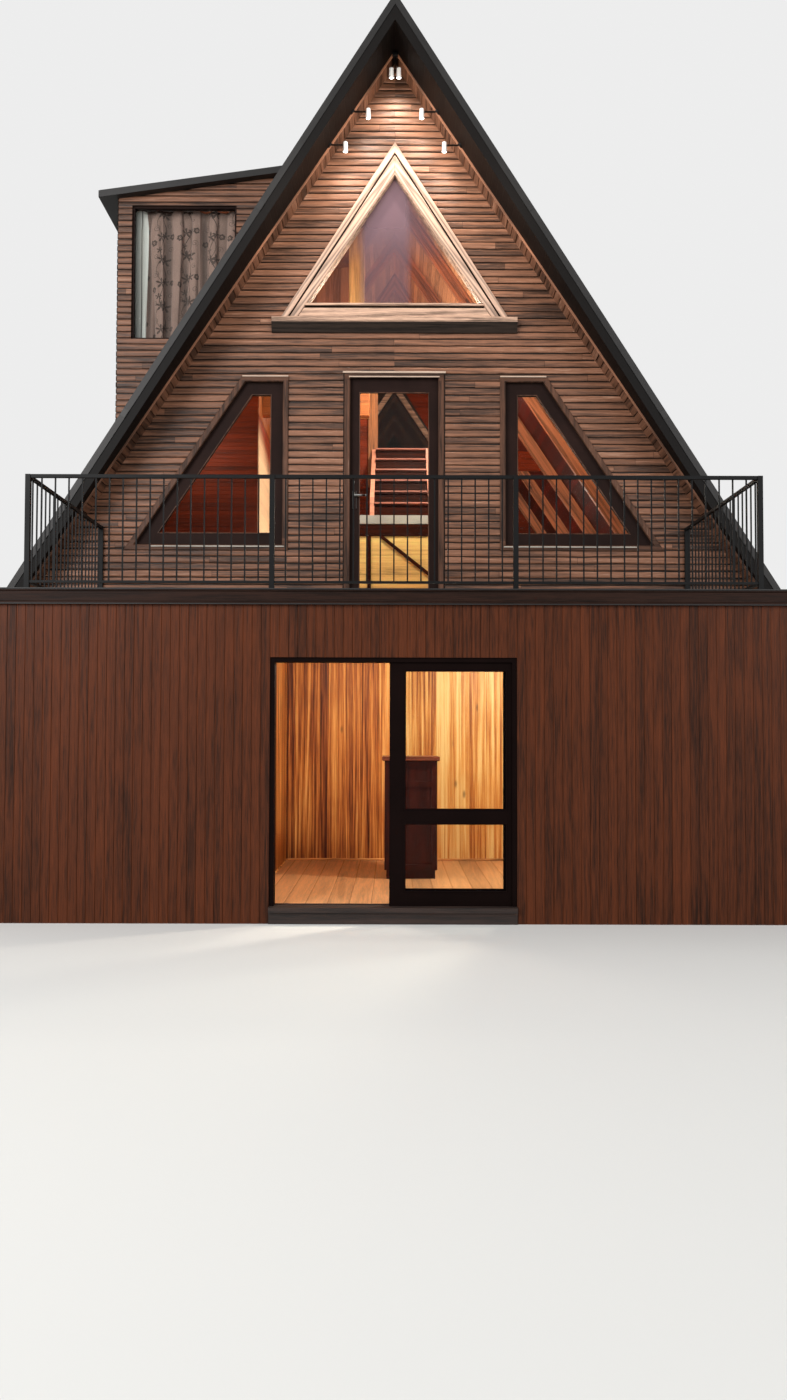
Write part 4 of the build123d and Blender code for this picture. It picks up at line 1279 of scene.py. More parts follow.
def terrace_edge():
    """A thin metal drip edge along the top and foot of the terrace's fascia."""
    low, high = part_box("terrace_fascia")
    box_piece("terrace_drip_edge", "flashing", "grey_flashing",
              ((low.x, low.y - 0.008, high.z - 0.012), (high.x, low.y + 0.004, high.z), 0.002),
              ((low.x, low.y - 0.005, low.z), (high.x, low.y + 0.004, low.z + 0.010), 0.002))


VERGE_LAPS = 3


def verge_laps():
    """Lap sleeves where lengths of the front and rear verge strips meet."""
    low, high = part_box("verge_strips")
    bm = new_boards()
    for mirror in (1, -1):
        out = Vector((math.sin(PITCH) * mirror, 0.0, math.cos(PITCH)))
        for ridge_y, toward in ((low.y, -1), (high.y, 1)):
            foot = Vector((high.x * mirror, ridge_y - toward * ROOF_RUN_OUT, TERRACE_TOP))
            ridge = Vector((0.0, ridge_y, high.z - 0.01))
            run = (ridge - foot).normalized()
            for place in range(1, VERGE_LAPS):
                spot = foot + (ridge - foot) * place / VERGE_LAPS
                spot = spot - out * 0.030
                bar(bm, spot - run * 0.045, spot + run * 0.045, 0.062, 0.003, (0, toward, 0), 0.0008)
    piece("verge_laps", bm, finish("flashing"))


# Lamps


LAMP_ROW = deep(2.100)
LAMP_TILT = math.radians(16)
LAMP_RADIUS = 0.027
LAMP_LENGTH = 0.095
SIDE_LAMPS = (-0.532, -0.288, 0.288, 0.532)
SIDE_LAMP_DROP, MIDDLE_LAMP_DROP = 0.275, 0.26


def lamp_head(shells, lenses, place):
    """One spot lamp: a turned shell with cooling rings and a recessed glowing lens."""
    head = new_boards()
    tube = bmesh.ops.create_cone(head, cap_ends=True, segments=28, radius1=LAMP_RADIUS,
                                 radius2=LAMP_RADIUS * 0.86, depth=LAMP_LENGTH)["verts"]
    caps = [face for face in head.faces if len(face.verts) > 4]
    front = min(caps, key=lambda face: face.calc_center_median().z)
    back = max(caps, key=lambda face: face.calc_center_median().z)
    bmesh.ops.inset_region(head, faces=[front], thickness=0.003, depth=0.0)
    bmesh.ops.inset_region(head, faces=[front], thickness=0.001, depth=-0.012)
    bmesh.ops.inset_region(head, faces=[back], thickness=0.005, depth=0.004)
    bmesh.ops.inset_region(head, faces=[back], thickness=0.004, depth=0.002)
    walls = {edge for vert in tube for edge in vert.link_edges
             if abs(edge.verts[0].co.z - edge.verts[1].co.z) > 0.05}
    bmesh.ops.subdivide_edges(head, edges=list(walls), cuts=9)
    for vert in head.verts:
        reach = Vector((vert.co.x, vert.co.y)).length
        level = round((vert.co.z + LAMP_LENGTH / 2) / LAMP_LENGTH * 10)
        if reach > LAMP_RADIUS * 0.8 and level in (6, 8):
            vert.co.x *= 0.9
            vert.co.y *= 0.9
    turn = Matrix.Rotation(LAMP_TILT, 4, "X")
    lens = new_boards()
    bmesh.ops.create_uvsphere(lens, u_segments=24, v_segments=12, radius=LAMP_RADIUS * 0.86)
    bmesh.ops.scale(lens, vec=(1.0, 1.0, 0.75), verts=lens.verts)
    spot = Matrix.Translation(place) @ turn
    add(shells, head, spot)
    add(lenses, lens, spot @ Matrix.Translation((0, 0, -LAMP_LENGTH / 2 + 0.008)))


def lamps():
    """The six spot lamps under the front overhang, on arms, a stem and plates."""
    shells, lenses, arms = new_boards(), new_boards(), new_boards()
    for x in SIDE_LAMPS:
        root = APEX - LEAN * abs(x)
        lamp_head(shells, lenses, (x, LAMP_ROW, root - SIDE_LAMP_DROP))
        away = math.copysign(1.0, x)
        level = root - SIDE_LAMP_DROP + 0.02
        wall = away * (APEX - level) / LEAN
        bar(arms, (x + away * LAMP_RADIUS * 0.8, LAMP_ROW, level), (wall, LAMP_ROW, level), 0.012, 0.018,
            (0, 1, 0))
        inward = Vector((-away * math.sin(PITCH), 0, -math.cos(PITCH))) * 0.006
        spot = Matrix.Translation(Vector((wall, LAMP_ROW, level)) + inward)
        turn = Matrix.Rotation(away * (PITCH + math.pi), 4, "Y")
        taper(arms, spot @ turn, 28, 0.036, 0.026, 0.014)
    low, top = APEX - MIDDLE_LAMP_DROP, APEX - 0.06
    for x in (-0.04, 0.04):
        lamp_head(shells, lenses, (x, LAMP_ROW, low))
    length = top - low
    taper(arms, Matrix.Translation((0.0, LAMP_ROW, low + length / 2)), 14, 0.007, 0.007, length)
    bar(arms, (-0.05, LAMP_ROW, APEX - 0.225), (0.05, LAMP_ROW, APEX - 0.225), 0.012, 0.012, (0, 1, 0))
    block(arms, (-0.03, LAMP_ROW - 0.035, APEX - 0.085), (0.03, LAMP_ROW + 0.035, APEX - 0.05), 0.004)
    piece("spot_lamp_arms", arms, finish("black_paint"))
    piece("spot_lamp_heads", shells, finish("lamp_paint"), replaces=("spot_lamps",))
    piece("spot_lamp_lenses", lenses, finish("lamp_lens"), smooth=True)


# Curtain


CURTAIN_CUT = (1.72, 1.786)
FOLDS = 6
FOLD_DEPTH = 0.030


def curtain():
    """The gathered curtain: soft folds that tighten towards its rings, with a white side hem."""
    low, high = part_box("curtain")
    width, height = high.x - low.x, high.z - low.z
    middle = (low.y + high.y) / 2
    bm = bmesh.new()
    cut_map = bm.loops.layers.uv.new("cut")
    painted_fold_shade = bm.verts.layers.float.new("painted_fold_shade")
    bmesh.ops.create_grid(bm, x_segments=300, y_segments=70, size=0.5)
    for face in bm.faces:
        for loop in face.loops:
            place = loop.vert.co
            loop[cut_map].uv = ((place.x + 0.5) * CURTAIN_CUT[0], (place.y + 0.5) * CURTAIN_CUT[1])
    for vert in bm.verts:
        share, rise = vert.co.x + 0.5, vert.co.y + 0.5
        top = max(0.0, rise - 0.86) / 0.14
        lean = noise.noise((share * 3.1, rise * 0.9, 4.0)) * 0.35
        swing = noise.noise((share * 5.0, rise * 0.6, 9.0))
        turn = 2 * math.pi * (share * FOLDS + lean * (1 - top))
        minor = 2 * math.pi * (share * FOLDS * 2.6 + swing * 0.5)
        deepness = FOLD_DEPTH * (0.85 + 0.25 * swing - 0.25 * top)
        off = deepness * math.cos(turn) + FOLD_DEPTH * 0.22 * math.sin(minor) * (1 - 0.6 * top)
        # How deep a point lies in a fold's hollow, for the painted shade there.
        vert[painted_fold_shade] = min(1.0, max(0.0, (off / FOLD_DEPTH - 0.35) / 0.55))
        sag = 0.011 * top ** 3 * (0.5 - 0.5 * math.cos(2 * math.pi * share * FOLDS + math.pi))
        side = 0.010 * math.sin(turn * 2 + 0.7)
        vert.co = (low.x + share * width + side, middle + off, low.z + rise * height - sag - 0.004)
        vert.co.x = min(max(vert.co.x, low.x + 0.002), high.x - 0.002)
    made = piece("curtain_cloth", bm, finish("curtain_cloth"), replaces=("curtain",),
                 smooth=True)
    rings = new_boards()
    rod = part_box("curtain_rod")
    rod_middle = Vector((0.0, middle, (rod[0].z + rod[1].z) / 2))
    for place in range(FOLDS + 1):
        x = low.x + 0.012 + (width - 0.024) * place / FOLDS
        loop = new_boards()
        start = bmesh.ops.create_circle(loop, segments=8, radius=0.0022)["verts"]
        bmesh.ops.translate(loop, vec=(0.0155, 0.0, 0.0), verts=start)
        bmesh.ops.spin(loop, geom=loop.verts[:] + loop.edges[:], cent=(0, 0, 0), axis=(0, 1, 0),
                       angle=2 * math.pi, steps=24, use_merge=True)
        bmesh.ops.remove_doubles(loop, verts=loop.verts, dist=1e-5)
        bmesh.ops.recalc_face_normals(loop, faces=loop.faces)
        add(rings, loop, Matrix.Translation((x, rod_middle.y, rod_middle.z - 0.004))
            @ Matrix.Rotation(math.radians(90), 4, "Z"))
    held = piece("curtain_rings", rings, finish("steel"), smooth=True)


# Rooms


ROOM_BOARD_THICK = 0.012
LINING_THICK = 0.010
LOW_ROOM_BACK = deep(3.350)
LOW_ROOM_SIDE = -1.260


def lining_boards(target, side, low_u, high_u, low_w, high_w, pitch, seed, corners=None,
                  thick=LINING_THICK):
    """Upright boards that stand on the face of a wall inside."""
    upright_boards(target, side, low_u, high_u, low_w, high_w, pitch, thick, seed, 0.003, -thick, corners)


def lower_room():
    """Strong-grained upright boards on the ground room's partitions, with small foot mouldings."""
    pitch, thick = sizes().room_board, ROOM_BOARD_THICK
    low, high = ROOM_FLOOR, WALL_TOP
    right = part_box("side_wall_right")[0].x
    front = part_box("front_wall_left")[1].y
    left, face = LOW_ROOM_SIDE + thick, LOW_ROOM_BACK - thick
    bm = new_boards()
    lining_boards(bm, front_facing(LOW_ROOM_BACK), left, right, low, high, pitch, 21, thick=thick)
    turned = Side((LOW_ROOM_SIDE, 0.0, 0.0), (0, 1, 0), (0, 0, 1))
    lining_boards(bm, turned, front, LOW_ROOM_BACK, low, high, pitch, 22, thick=thick)
    piece("ground_room_boards", bm, finish("room_boards"))
    foot = 0.022
    box_piece("ground_room_mouldings", "pine_trim", "interior_pine",
              ((left, face - foot, low), (right, face, low + foot), 0.007),
              ((left, front, low), (left + foot, face, low + foot), 0.007))


def level_boards(target, y, low_x, high_x, low_z, high_z, pitch, seed, outline=None):
    """Horizontal boards facing the front. They are upright boards laid on their side."""
    side = Side((0.0, y, 0.0), (0, 0, 1), (-1, 0, 0))
    if outline:
        outline = [(z, -x) for x, z in outline]
    lining_boards(target, side, low_z, high_z, -high_x, -low_x, pitch, seed, outline)


NARROW_BOARD = 0.048
LANDING_BOARD = 0.083
WIDE_BOARD = 0.095
DORMER_BOARD = 0.12
# Left between the rooms' boards and the roof's underside
ROOM_MARGIN = 0.02
# The left room's side boards and beam stop this far before the end of its walls
SIDE_SHORT = 0.24
TIE_FRONT, TIE_BACK = -1.470, -1.350
REAR_TIE_FRONT = 1.180
RISERS, GOING = 6, 0.220
LOFT_WALL_LEFT = -1.62


def left_room():
    """Level boards on the left room's front, and pale ones on its side."""
    low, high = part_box("left_room_walls")
    crown = high.z + 0.34
    edge = [(-gable_edge(low.z, ROOM_MARGIN), low.z), (high.x, low.z), (high.x, crown),
            (-gable_edge(crown, ROOM_MARGIN), crown)]
    bm = new_boards()
    level_boards(bm, low.y, low.x, high.x, low.z, crown, NARROW_BOARD, 31, edge)
    piece("left_room_boards", bm, finish("red_courses"))
    bm = new_boards()
    beside = Side((high.x, 0.0, 0.0), (0, 0, 1), (0, -1, 0))
    lining_boards(bm, beside, low.z, high.z, SIDE_SHORT - high.y, -low.y, NARROW_BOARD, 34)
    piece("left_room_side_boards", bm, finish("pale_boards"))


def beams_and_lining():
    """The tie beams, the post on the front one, and the rear wall's lining."""
    low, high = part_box("left_room_walls")
    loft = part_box("loft_floor")[1]
    tie_top = high.z + 0.36
    box_piece("tie_beams", "pine_beam", "interior_pine",
              ((high.x - 0.08, low.y + 0.011, high.z + 0.002),
               (high.x + 0.012, high.y - SIDE_SHORT, high.z + 0.27), 0.004),
              ((high.x + 0.012, TIE_FRONT, high.z + 0.08), (-0.300, TIE_BACK, tie_top), 0.005))
    box_piece("rear_tie_beam", "red_trim", "red_boards",
              ((loft.x - 0.20, REAR_TIE_FRONT, loft.z + 0.002),
               (2.16, REAR_TIE_FRONT + 0.06, loft.z + 0.285), 0.005))
    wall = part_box("rear_gable_wall")[0].y
    foot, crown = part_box("upper_floor")[1].z, PEAK_LOW.z
    right, right_high = gable_edge(foot, ROOM_MARGIN), gable_edge(crown, ROOM_MARGIN)
    bm = new_boards()
    level_boards(bm, wall, loft.x, right, foot, crown, WIDE_BOARD, 37,
                 [(loft.x, foot), (right, foot), (right_high, crown), (loft.x, crown)])
    level_boards(bm, wall, 0.0, right_high, crown, APEX, WIDE_BOARD, 38, beside_peak(ROOM_MARGIN, 0.05))
    piece("rear_wall_lining", bm, finish("red_courses"))
    box_piece("tie_beam_post", "knotty_post", "interior_pine",
              ((-0.560, TIE_FRONT, tie_top), (-0.370, TIE_BACK, APEX - 0.565 * LEAN), 0.006))


def landing():
    """Boards on the landing's front, with its beam, post, brace and nosing."""
    low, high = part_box("stair_landing")
    nosing, beam = high.z - 0.105, high.z - 0.25
    front = low.y - LINING_THICK
    bm = new_boards()
    level_boards(bm, low.y, low.x, high.x, low.z, beam, LANDING_BOARD, 32)
    piece("landing_front_boards", bm, finish("landing_boards"))
    bm = new_boards()
    block(bm, (low.x, front - 0.020, beam), (high.x, low.y, nosing), 0.004)
    block(bm, (low.x + 0.112, front - 0.022, low.z), (low.x + 0.157, front + 0.002, beam), 0.003)
    brace = front - 0.012
    bar(bm, (low.x + 0.28, brace, beam - 0.005), (low.x + 0.98, brace, beam - 0.56), 0.04, 0.022,
        (0, -1, 0), 0.003)
    piece("landing_beam_and_brace", bm, finish("stair_timber"))
    box_piece("landing_nosing", "worn_grey", "terrace_concrete",
              ((low.x - 0.01, front - 0.030, nosing), (high.x, low.y, high.z + 0.004), 0.004))


def stair():
    """The stair's strings and nosings, and the post, rail and boards of the loft's front wall."""
    low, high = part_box("loft_stair")
    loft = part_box("loft_floor")[1].z
    step = (loft - low.z) / RISERS
    start = high.y - RISERS * GOING
    bm = new_boards()
    for x in (low.x + 0.025, high.x - 0.025):
        bar(bm, (x, start - 0.006, low.z + step + 0.064), (x, high.y, high.z + 0.004), 0.056, 0.014,
            (0, -1, 1), 0.003)
        block(bm, (x - 0.028, start - 0.010, low.z + 0.004),
              (x + 0.028, start + 0.002, low.z + step + 0.07), 0.003)
    piece("stair_strings", bm, finish("string_timber"))
    bm = new_boards()
    for place in range(RISERS):
        z = low.z + step * (place + 1)
        y = start + GOING * place - 0.028
        block(bm, (low.x + 0.052, y - 0.004, z - 0.018), (high.x - 0.052, y + 0.030, z + 0.002), 0.004)
    piece("stair_nosings", bm, finish("nosing_timber"))
    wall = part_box("loft_front_wall")[0]
    right, rail = low.x - 0.06, loft + 0.47
    box_piece("stair_post_and_rail", "pine_stile", "interior_pine",
              ((right, wall.y - 0.05, low.z + 0.7), (low.x + 0.075, wall.y - 0.005, loft + 0.95), 0.005),
              ((LOFT_WALL_LEFT, wall.y - 0.03, rail), (right, wall.y - 0.004, loft + 0.60), 0.004))
    bm = new_boards()
    level_boards(bm, wall.y, LOFT_WALL_LEFT, right, wall.z, rail, WIDE_BOARD, 33)
    piece("loft_wall_boards", bm, finish("red_courses"))


def dormer_inside():
    """Boards on the dormer's rear wall and ceiling, behind the curtain."""
    foot = DORMER_LOW.z
    left, right = DORMER_SIDE + 0.1, DORMER_HIGH.x - 0.02
    bm = new_boards()
    lining_boards(bm, front_facing(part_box("dormer_rear_wall")[0].y), left, right, foot, DORMER_HIGH.z,
                  DORMER_BOARD, 35,
                  [(left, foot), (right, foot), (right, dormer_top(right)), (left, DORMER_EAVE)])
    over_slope(bm)
    piece("dormer_lining", bm, finish("dormer_boards_inside"))
    bm = new_boards()
    ceiling = Side((DORMER_SIDE, DORMER_FRONT + 0.1, DORMER_EAVE), (0, 1, 0), (1, 0, DORMER_FALL))
    lining_boards(bm, ceiling, 0.0, DORMER_REAR - DORMER_FRONT - 0.2, 0.1,
                  (DORMER_HIGH.x - DORMER_SIDE) * 0.96, DORMER_BOARD, 36)
    piece("dormer_ceiling", bm, finish("dormer_ceiling_boards"))


def counter_top():
    """The kitchen's worktop, much lighter than the counter below: painted light on its top."""
    low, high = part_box("kitchen_counter")
    box_piece("counter_top", "counter_top_wood", "counter_wood",
              ((low.x - 0.004, low.y - 0.004, high.z - 0.036),
               (high.x + 0.004, high.y, high.z + 0.004), 0.004))


def door_hardware():
    """The balcony door's lever on its plate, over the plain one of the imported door."""
    x, y, z = -0.4315, DOOR_FACE, 4.210
    grip = Matrix.Translation((x + 0.062, y - 0.047, z)) @ Matrix.Rotation(math.radians(90), 4, "Y")
    neck = Matrix.Translation((x, y - 0.027, z)) @ Matrix.Rotation(math.radians(90), 4, "X")
    bm = new_boards()
    block(bm, (x - 0.021, y - 0.006, z - 0.14), (x + 0.021, y, z + 0.06), 0.004)
    taper(bm, grip, 18, 0.0135, 0.0095, 0.145)
    taper(bm, neck, 18, 0.014, 0.011, 0.048)
    piece("balcony_door_lever", bm, finish("steel"))


# Stage


CAMERA_BACK = 9.02
EYE = 1.61
TILT = 1.9
ROLL = 0.15
FOCAL_PIXELS = 1053.0
PHOTO_HEIGHT = 1400.0
WORLD_LEVEL = 0.47


def stage():
    """Pale floor, soft lights and the camera at the photograph's angle."""
    bm = bmesh.new()
    bmesh.ops.create_grid(bm, x_segments=1, y_segments=1, size=60.0)
    mesh = bpy.data.meshes.new("floor")
    bm.to_mesh(mesh)
    bm.free()
    floor = bpy.data.objects.new("floor", mesh)
    bpy.context.collection.objects.link(floor)
    f = Finish("pale_floor")
    mesh.materials.append(f.paint(Base_Color=screen(0.86, 0.86, 0.85), Roughness=0.75))

    world = bpy.data.worlds.new("studio")
    bpy.context.scene.world = world
    tree = Tree(world)
    lamp = tree.set(tree.nodes["Background"], {"Color": (1.0, 1.0, 1.0, 1.0), "Strength": WORLD_LEVEL})
    seen = tree.node("ShaderNodeBackground", None, {"Color": screen(0.93, 0.93, 0.93), "Strength": 1.0})
    path = tree.node("ShaderNodeLightPath")
    shown = Amount(tree, path.outputs["Is Camera Ray"])
    for kind in ("Is Transmission Ray", "Is Glossy Ray"):
        shown = shown.most(path.outputs[kind])
    mixed = tree.node("ShaderNodeMixShader", None, {0: shown, 1: lamp.outputs[0], 2: seen.outputs[0]})
    tree.links.new(mixed.outputs[0], tree.nodes["World Output"].inputs["Surface"])

    view_from_photo()
    panel("key_light", (-11.5, -17.0, 9.5), (0.0, -3.0, 5.0), 9.0, 2900.0)
    panel("fill_light", (11.0, -14.0, 7.0), (0.0, -2.0, 4.5), 9.0, 850.0)
    panel("back_light", (3.0, 15.0, 11.0), (0.0, 0.0, 4.0), 9.0, 1100.0)


def view_from_photo():
    """The camera that took the photograph."""
    data = bpy.data.cameras.new("camera")
    data.sensor_fit = "VERTICAL"
    data.sensor_height = 24.0
    data.lens = data.sensor_height * FOCAL_PIXELS / PHOTO_HEIGHT
    data.clip_end = 200.0
    camera = bpy.data.objects.new("camera", data)
    bpy.context.collection.objects.link(camera)
    camera.location = (0.0, BASE_FRONT - CAMERA_BACK, EYE)
    upright = Matrix.Rotation(math.radians(90.0 + TILT), 4, "X")
    rolled = Matrix.Rotation(math.radians(ROLL), 4, "Z")
    camera.matrix_world = Matrix.Translation(camera.location) @ upright @ rolled
    bpy.context.scene.camera = camera
    bpy.context.scene.view_settings.view_transform = "Standard"


def light(name, kind, place, watts, colour, **settings):
    """A light with no fitting of its own."""
    data = bpy.data.lights.new(name, kind)
    data.energy = watts
    data.color = colour
    for key, value in settings.items():
        setattr(data, key, value)
    made = bpy.data.objects.new(name, data)
    made.location = place
    bpy.context.collection.objects.link(made)
    return made


def facing_along(direction):
    """The turn that points a light along a direction."""
    return Vector(direction).to_track_quat("-Z", "Y").to_euler()


def panel(name, place, aim, width, watts):
    """A square soft white light at a place, turned to a point."""
    made = light(name, "AREA", place, watts, (1.0, 1.0, 1.0), size=width)
    made.rotation_euler = facing_along(Vector(aim) - Vector(place))


def bulb(name, place, watts, colour, radius=0.15, shiny=True):
    """A warm room light. Glass mirrors it where it is shiny."""
    made = light(name, "POINT", place, watts, colour, shadow_soft_size=radius)
    made.visible_glossy = shiny


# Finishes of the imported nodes


def dress(name, material):
    """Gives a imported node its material."""
    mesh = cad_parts[name].data
    mesh.materials.clear()
    mesh.materials.append(material)


PEAK_TONE = (0.62, 0.51, 0.44)


def palette():
    """Makes every finish, so that the pieces can look theirs up."""
    c, s = colours(), sizes()
    finish("gable_boards", wood, c.siding, tone=0.30, sawn=1.0, weather=0.45, worn=0.35)
    # Pale timber for the head mouldings: painted light, as on lit top faces.
    finish("pale_trim", wood, (0.74, 0.65, 0.58), boards=None, contrast=0.4, figure=0.05)
    finish("knotty_post", wood, (0.82, 0.62, 0.38), along="Z", boards=None, figure=0.2, knots=0.8,
           contrast=0.7)
    finish("return_boards", wood, toned(c.siding, 0.92), along="Y", tone=0.34, sawn=0.9, worn=0.3)
    finish("wall_core", wood, toned(c.siding, 0.35), boards=None, sawn=0.6)
    finish("base_boards", wood, c.cladding, along="Z", tone=0.16, figure=0.2, weather=0.3, shine=0.12)
    finish("casing_timber", wood, c.casing, along="Z", boards=None, sawn=0.6, weather=0.5, worn=0.5,
           level_above=5.466, level_under=3.735, shine=0.15)
    # Painted shade makes the peak window's sill under its cap nearly black.
    finish("peak_timber", wood, toned(PEAK_TONE, 1.08), boards=None, sawn=0.5, worn=0.4,
           dark_under=PEAK_LOW.z + 0.112, shine=0.12)
    finish("peak_stiles", slope_wood, PEAK_TONE)
    finish("batten_timber", slope_wood, toned(c.siding, 1.15))
    finish("sill_timber", wood, (0.17, 0.12, 0.10), boards=None, sawn=0.8, gloss=0.6, worn=0.3)
    finish("fascia_timber", wood, (0.145, 0.088, 0.066), boards=None, sawn=0.4, figure=0.2, shine=0.08)
    # A near-black finish for painted shade in grooves.
    finish("dark_gap", painted, (0.05, 0.035, 0.03), 0.8, sheen=0.0)
    finish("dark_frame", painted, (0.065, 0.034, 0.03), 0.55, grime=0.3, grain=0.8, sheen=0.02)
    finish("window_brown", painted, (0.14, 0.092, 0.08), 0.55, grime=0.3, grain=0.8, sheen=0.05)
    finish("black_paint", painted, (0.035, 0.035, 0.037), 0.5, grime=0.35, sheen=0.15)
    finish("flashing", painted, (0.175, 0.17, 0.168), 0.45, 0.6, 0.16)
    finish("steel", painted, (0.62, 0.62, 0.61), 0.28, 0.95, 0.08)
    finish("lamp_paint", painted, (0.86, 0.86, 0.86), 0.35, 0.0, 0.08)
    finish("lamp_lens", lit, (1.0, 0.98, 0.95), 12.0)
    finish("clear_glass", glass)
    finish("shingles", shingles, (0.20, 0.195, 0.20))
    finish("roof_shell", roof_shell)
    finish("screed", concrete, (0.47, 0.45, 0.42))
    finish("rafter_timber", slope_wood, (0.635, 0.378, 0.245), 0.8)
    finish("room_boards", wood, c.pine, along="Z", tone=0.30, figure=0.30, weather=0.3, knots=0.6, fine=1.1,
           streak=0.8, drift=0.17, contrast=0.85, slow=2.2, joint=0.6,
           shades=[(0.08, (0.27, 0.11, 0.05)), (0.28, (0.56, 0.31, 0.14)), (0.44, (0.76, 0.48, 0.22)),
                   (0.62, (0.89, 0.66, 0.36)), (0.85, (0.96, 0.83, 0.56))])
    finish("wall_inside", wood, c.pine, along="Z", boards="place", pitch=s.room_board, across="Y")
    finish("pine_trim", wood, (0.86, 0.62, 0.37), boards=None)
    finish("pine_stile", wood, (0.58, 0.35, 0.19), along="Z", boards=None, figure=0.2)
    finish("pine_beam", wood, (0.62, 0.34, 0.17), boards=None, figure=0.05, contrast=0.7)
    finish("landing_boards", wood, (0.95, 0.76, 0.45), tone=0.12, figure=0.12, weather=0.05, knots=0.4,
           contrast=0.45)
    finish("red_courses", wood, c.red_boards, tone=0.22, gloss=0.55, figure=0.1, contrast=0.8, shine=0.12)
    # The left room's pale side boards carry painted shade, in the red boards' tone, above about 4.6 m.
    finish("pale_boards", painted_shade_above, (0.95, 0.80, 0.64), c.red_boards, 4.62, 5.05)
    finish("red_boards", wood, c.red_boards, boards="place", pitch=WIDE_BOARD, figure=0.1, contrast=0.8,
           shine=0.12)
    finish("dormer_boards_inside", wood, (0.72, 0.46, 0.33), along="Z", tone=0.2, figure=0.05, contrast=0.6)
    finish("dormer_ceiling_boards", wood, (0.50, 0.30, 0.21), along="X", tone=0.2, figure=0.05, shine=0.1)
    finish("stair_timber", wood, toned(c.red_boards, 0.48), boards=None, shine=0.05)
    finish("red_trim", wood, toned(c.red_boards, 1.1), boards=None, figure=0.1, shine=0.1)
    finish("string_timber", wood, (0.90, 0.60, 0.49), boards=None, figure=0.08, contrast=0.4)
    finish("nosing_timber", wood, (0.66, 0.40, 0.33), boards=None, figure=0.08, contrast=0.4)
    finish("counter_timber", wood, (0.21, 0.075, 0.048), along="Z", boards=None, figure=0.3, gloss=0.35,
           shine=0.14)
    # Painted light: the counter's top is much lighter than its front.
    finish("counter_top_wood", wood, (0.46, 0.23, 0.15), boards=None, figure=0.3, gloss=0.3)
    finish("floor_planks", wood, (0.82, 0.60, 0.41), along="Y", boards="place", pitch=0.19, across="X",
           tone=0.12, figure=0.10, weather=0.1, gloss=0.35, sawn=0.1, contrast=0.6, shine=0.5, joint=0.3)
    finish("worn_grey", painted, (0.68, 0.66, 0.62), 0.6, grime=0.2)
    finish("curtain_cloth", cloth, c.fabric)


NODE_FINISHES = {
    "wall_core": ("gable_wall_left", "gable_wall_right", "gable_wall_top", "rear_gable_wall",
                  "dormer_front_wall", "dormer_rear_wall", "dormer_side_wall"),
    "casing_timber": ("opening_casings",),
    "peak_timber": ("peak_windows",),
    "dark_frame": ("door_frame", "fixed_leaf", "sliding_leaf"),
    "window_brown": ("window_frames", "balcony_door"),
    "sill_timber": ("door_sill",),
    "clear_glass": ("window_glass", "sliding_leaf_glass"),
    "red_boards": ("left_room_walls", "loft_front_wall"),
    "stair_timber": ("loft_stair",),
    "pine_trim": ("stair_landing",),
    "floor_planks": ("ground_floor", "upper_floor", "loft_floor"),
    "wall_inside": ("room_partitions",),
    "counter_timber": ("kitchen_counter",),
    "rafter_timber": ("rafters",),
    "screed": ("terrace_slab",),
    "fascia_timber": ("terrace_fascia",),
    "black_paint": ("railing_front", "side_railings"),
    "roof_shell": ("roof_left", "roof_right"),
    "flashing": ("verge_strips", "ridge_cap", "dormer_roof"),
    "steel": ("curtain_rod",),
}


def node_finishes():
    """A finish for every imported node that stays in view."""
    for material, names in NODE_FINISHES.items():
        for name in names:
            dress(name, finish(material))


POOL_WATTS = 29.0


def room_lights():
    """Warm light in the rooms, as in use, and the small pools of the spot lamps on the boards."""
    warm = (1.0, 0.90, 0.76)
    bulb("ground_room_light", (1.3, -3.9, 2.5), 205.0, warm)
    bulb("ground_room_light_left", (-0.6, -4.4, 2.5), 46.0, warm)
    bulb("upper_room_light", (0.9, -1.0, 4.6), 44.0, warm)
    bulb("stair_light", (0.3, -2.2, 5.52), 160.0, warm)
    bulb("left_room_light", (-2.3, -2.35, 5.1), 21.0, warm, 0.3)
    bulb("passage_light", (-0.95, -1.0, 3.9), 18.0, warm)
    bulb("loft_light", (0.3, -0.9, 6.5), 78.0, warm)
    bulb("loft_light_rear", (0.6, 1.7, 6.8), 75.0, warm)
    bulb("rear_room_light", (1.35, 2.0, 4.3), 48.0, warm)
    bulb("post_light", (-0.2, -2.3, 6.3), 30.0, warm)
    bulb("dormer_light", (-1.1, 0.1, 6.7), 14.0, warm)
    glow = (1.0, 0.92, 0.82)
    bulb("gable_glow_high", (0.0, GABLE_FRONT - 0.85, 7.9), 46.0, glow, 0.4, False)
    for x in (-0.95, 0.95):
        bulb("gable_glow", (x, GABLE_FRONT - 0.95, 7.0), 30.0, glow, 0.4, False)
    for x, share in zip((*SIDE_LAMPS[:2], 0.0, *SIDE_LAMPS[2:]), (0.7, 0.9, 1.6, 0.9, 0.7)):
        place = (x, LAMP_ROW - 0.09, APEX - LEAN * abs(x) - 0.33)
        made = light("pool", "SPOT", place, POOL_WATTS * share, (1.0, 0.92, 0.81),
                     spot_size=math.radians(112), spot_blend=1.0, shadow_soft_size=0.03)
        made.rotation_euler = facing_along((-0.25 * x, 0.62, -1.0))


# Operators


class CABIN_OT_stage(bpy.types.Operator):
    """Add the floor, the lights and the camera"""

    bl_idname = "cabin.stage"
    bl_label = "Stage"

    def execute(self, context):
        stage()
        room_lights()
        return {"FINISHED"}


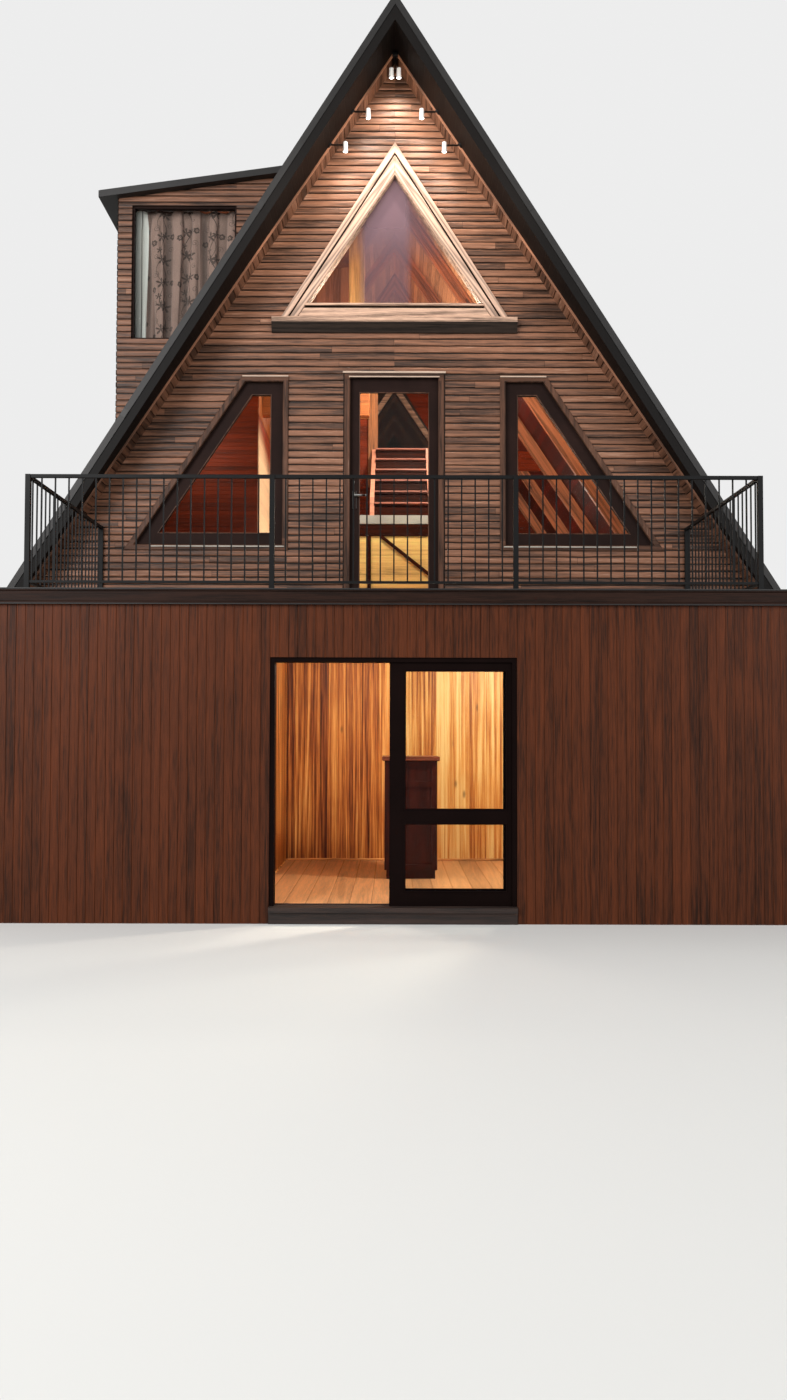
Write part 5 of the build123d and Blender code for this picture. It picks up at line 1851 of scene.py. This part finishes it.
class CABIN_OT_gable_boards(bpy.types.Operator):
    """Board both gables"""

    bl_idname = "cabin.gable_boards"
    bl_label = "Gable boards"

    def execute(self, context):
        gable_boards()
        return {"FINISHED"}


class CABIN_OT_dormer_boards(bpy.types.Operator):
    """Board the dormer"""

    bl_idname = "cabin.dormer_boards"
    bl_label = "Dormer boards"

    def execute(self, context):
        dormer_boards()
        return {"FINISHED"}


class CABIN_OT_base_cladding(bpy.types.Operator):
    """Clad the base with upright boards"""

    bl_idname = "cabin.base_cladding"
    bl_label = "Base cladding"

    def execute(self, context):
        base_cladding()
        return {"FINISHED"}


class CABIN_OT_roof(bpy.types.Operator):
    """Cover the roof and the dormer's roof"""

    bl_idname = "cabin.roof"
    bl_label = "Roof covering"

    def execute(self, context):
        roof_shingles()
        dormer_seams()
        dormer_flashing()
        return {"FINISHED"}


class CABIN_OT_palette(bpy.types.Operator):
    """Make every finish"""

    bl_idname = "cabin.palette"
    bl_label = "Palette"

    def execute(self, context):
        palette()
        return {"FINISHED"}


class CABIN_OT_trim(bpy.types.Operator):
    """Add the peak windows' stiles, battens, beads, drip edge, verge laps and the lever"""

    bl_idname = "cabin.trim"
    bl_label = "Trim"

    def execute(self, context):
        peak_trim()
        soffit_returns()
        glazing_beads()
        head_mouldings()
        terrace_edge()
        verge_laps()
        door_hardware()
        return {"FINISHED"}


class CABIN_OT_lamps(bpy.types.Operator):
    """Add the spot lamps"""

    bl_idname = "cabin.lamps"
    bl_label = "Spot lamps"

    def execute(self, context):
        lamps()
        return {"FINISHED"}


class CABIN_OT_curtain(bpy.types.Operator):
    """Hang the dormer's curtain"""

    bl_idname = "cabin.curtain"
    bl_label = "Curtain"

    def execute(self, context):
        curtain()
        return {"FINISHED"}


class CABIN_OT_rooms(bpy.types.Operator):
    """Board and trim the rooms seen through the openings"""

    bl_idname = "cabin.rooms"
    bl_label = "Rooms"

    def execute(self, context):
        lower_room()
        left_room()
        beams_and_lining()
        landing()
        stair()
        dormer_inside()
        counter_top()
        return {"FINISHED"}


class CABIN_OT_finishes(bpy.types.Operator):
    """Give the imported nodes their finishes"""

    bl_idname = "cabin.finishes"
    bl_label = "Finishes"

    def execute(self, context):
        node_finishes()
        return {"FINISHED"}


STEPS = (CABIN_OT_stage, CABIN_OT_palette, CABIN_OT_gable_boards, CABIN_OT_dormer_boards,
         CABIN_OT_base_cladding, CABIN_OT_roof, CABIN_OT_trim, CABIN_OT_lamps, CABIN_OT_curtain,
         CABIN_OT_rooms, CABIN_OT_finishes)


class CABIN_PT_panel(bpy.types.Panel):
    """Lists the cabin's steps and values"""

    bl_idname = "CABIN_PT_panel"
    bl_label = "Cabin"
    bl_space_type = "VIEW_3D"
    bl_region_type = "UI"
    bl_category = "Cabin"

    def draw(self, context):
        layout = self.layout
        for group in (context.scene.cabin_sizes, context.scene.cabin_colours):
            for name in group.__annotations__:
                layout.prop(group, name)
        for step in STEPS:
            layout.operator(step.bl_idname)


CLASSES = (CabinSizes, CabinColours) + STEPS + (CABIN_PT_panel,)


def register():
    for kind in CLASSES:
        bpy.utils.register_class(kind)
    bpy.types.Scene.cabin_sizes = bpy.props.PointerProperty(type=CabinSizes)
    bpy.types.Scene.cabin_colours = bpy.props.PointerProperty(type=CabinColours)


def unregister():
    del bpy.types.Scene.cabin_colours
    del bpy.types.Scene.cabin_sizes
    for kind in reversed(CLASSES):
        bpy.utils.unregister_class(kind)


def main():
    register()
    for step in STEPS:
        family, name = step.bl_idname.split(".")
        getattr(getattr(bpy.ops, family), name)()


if __name__ == "__main__":
    main()
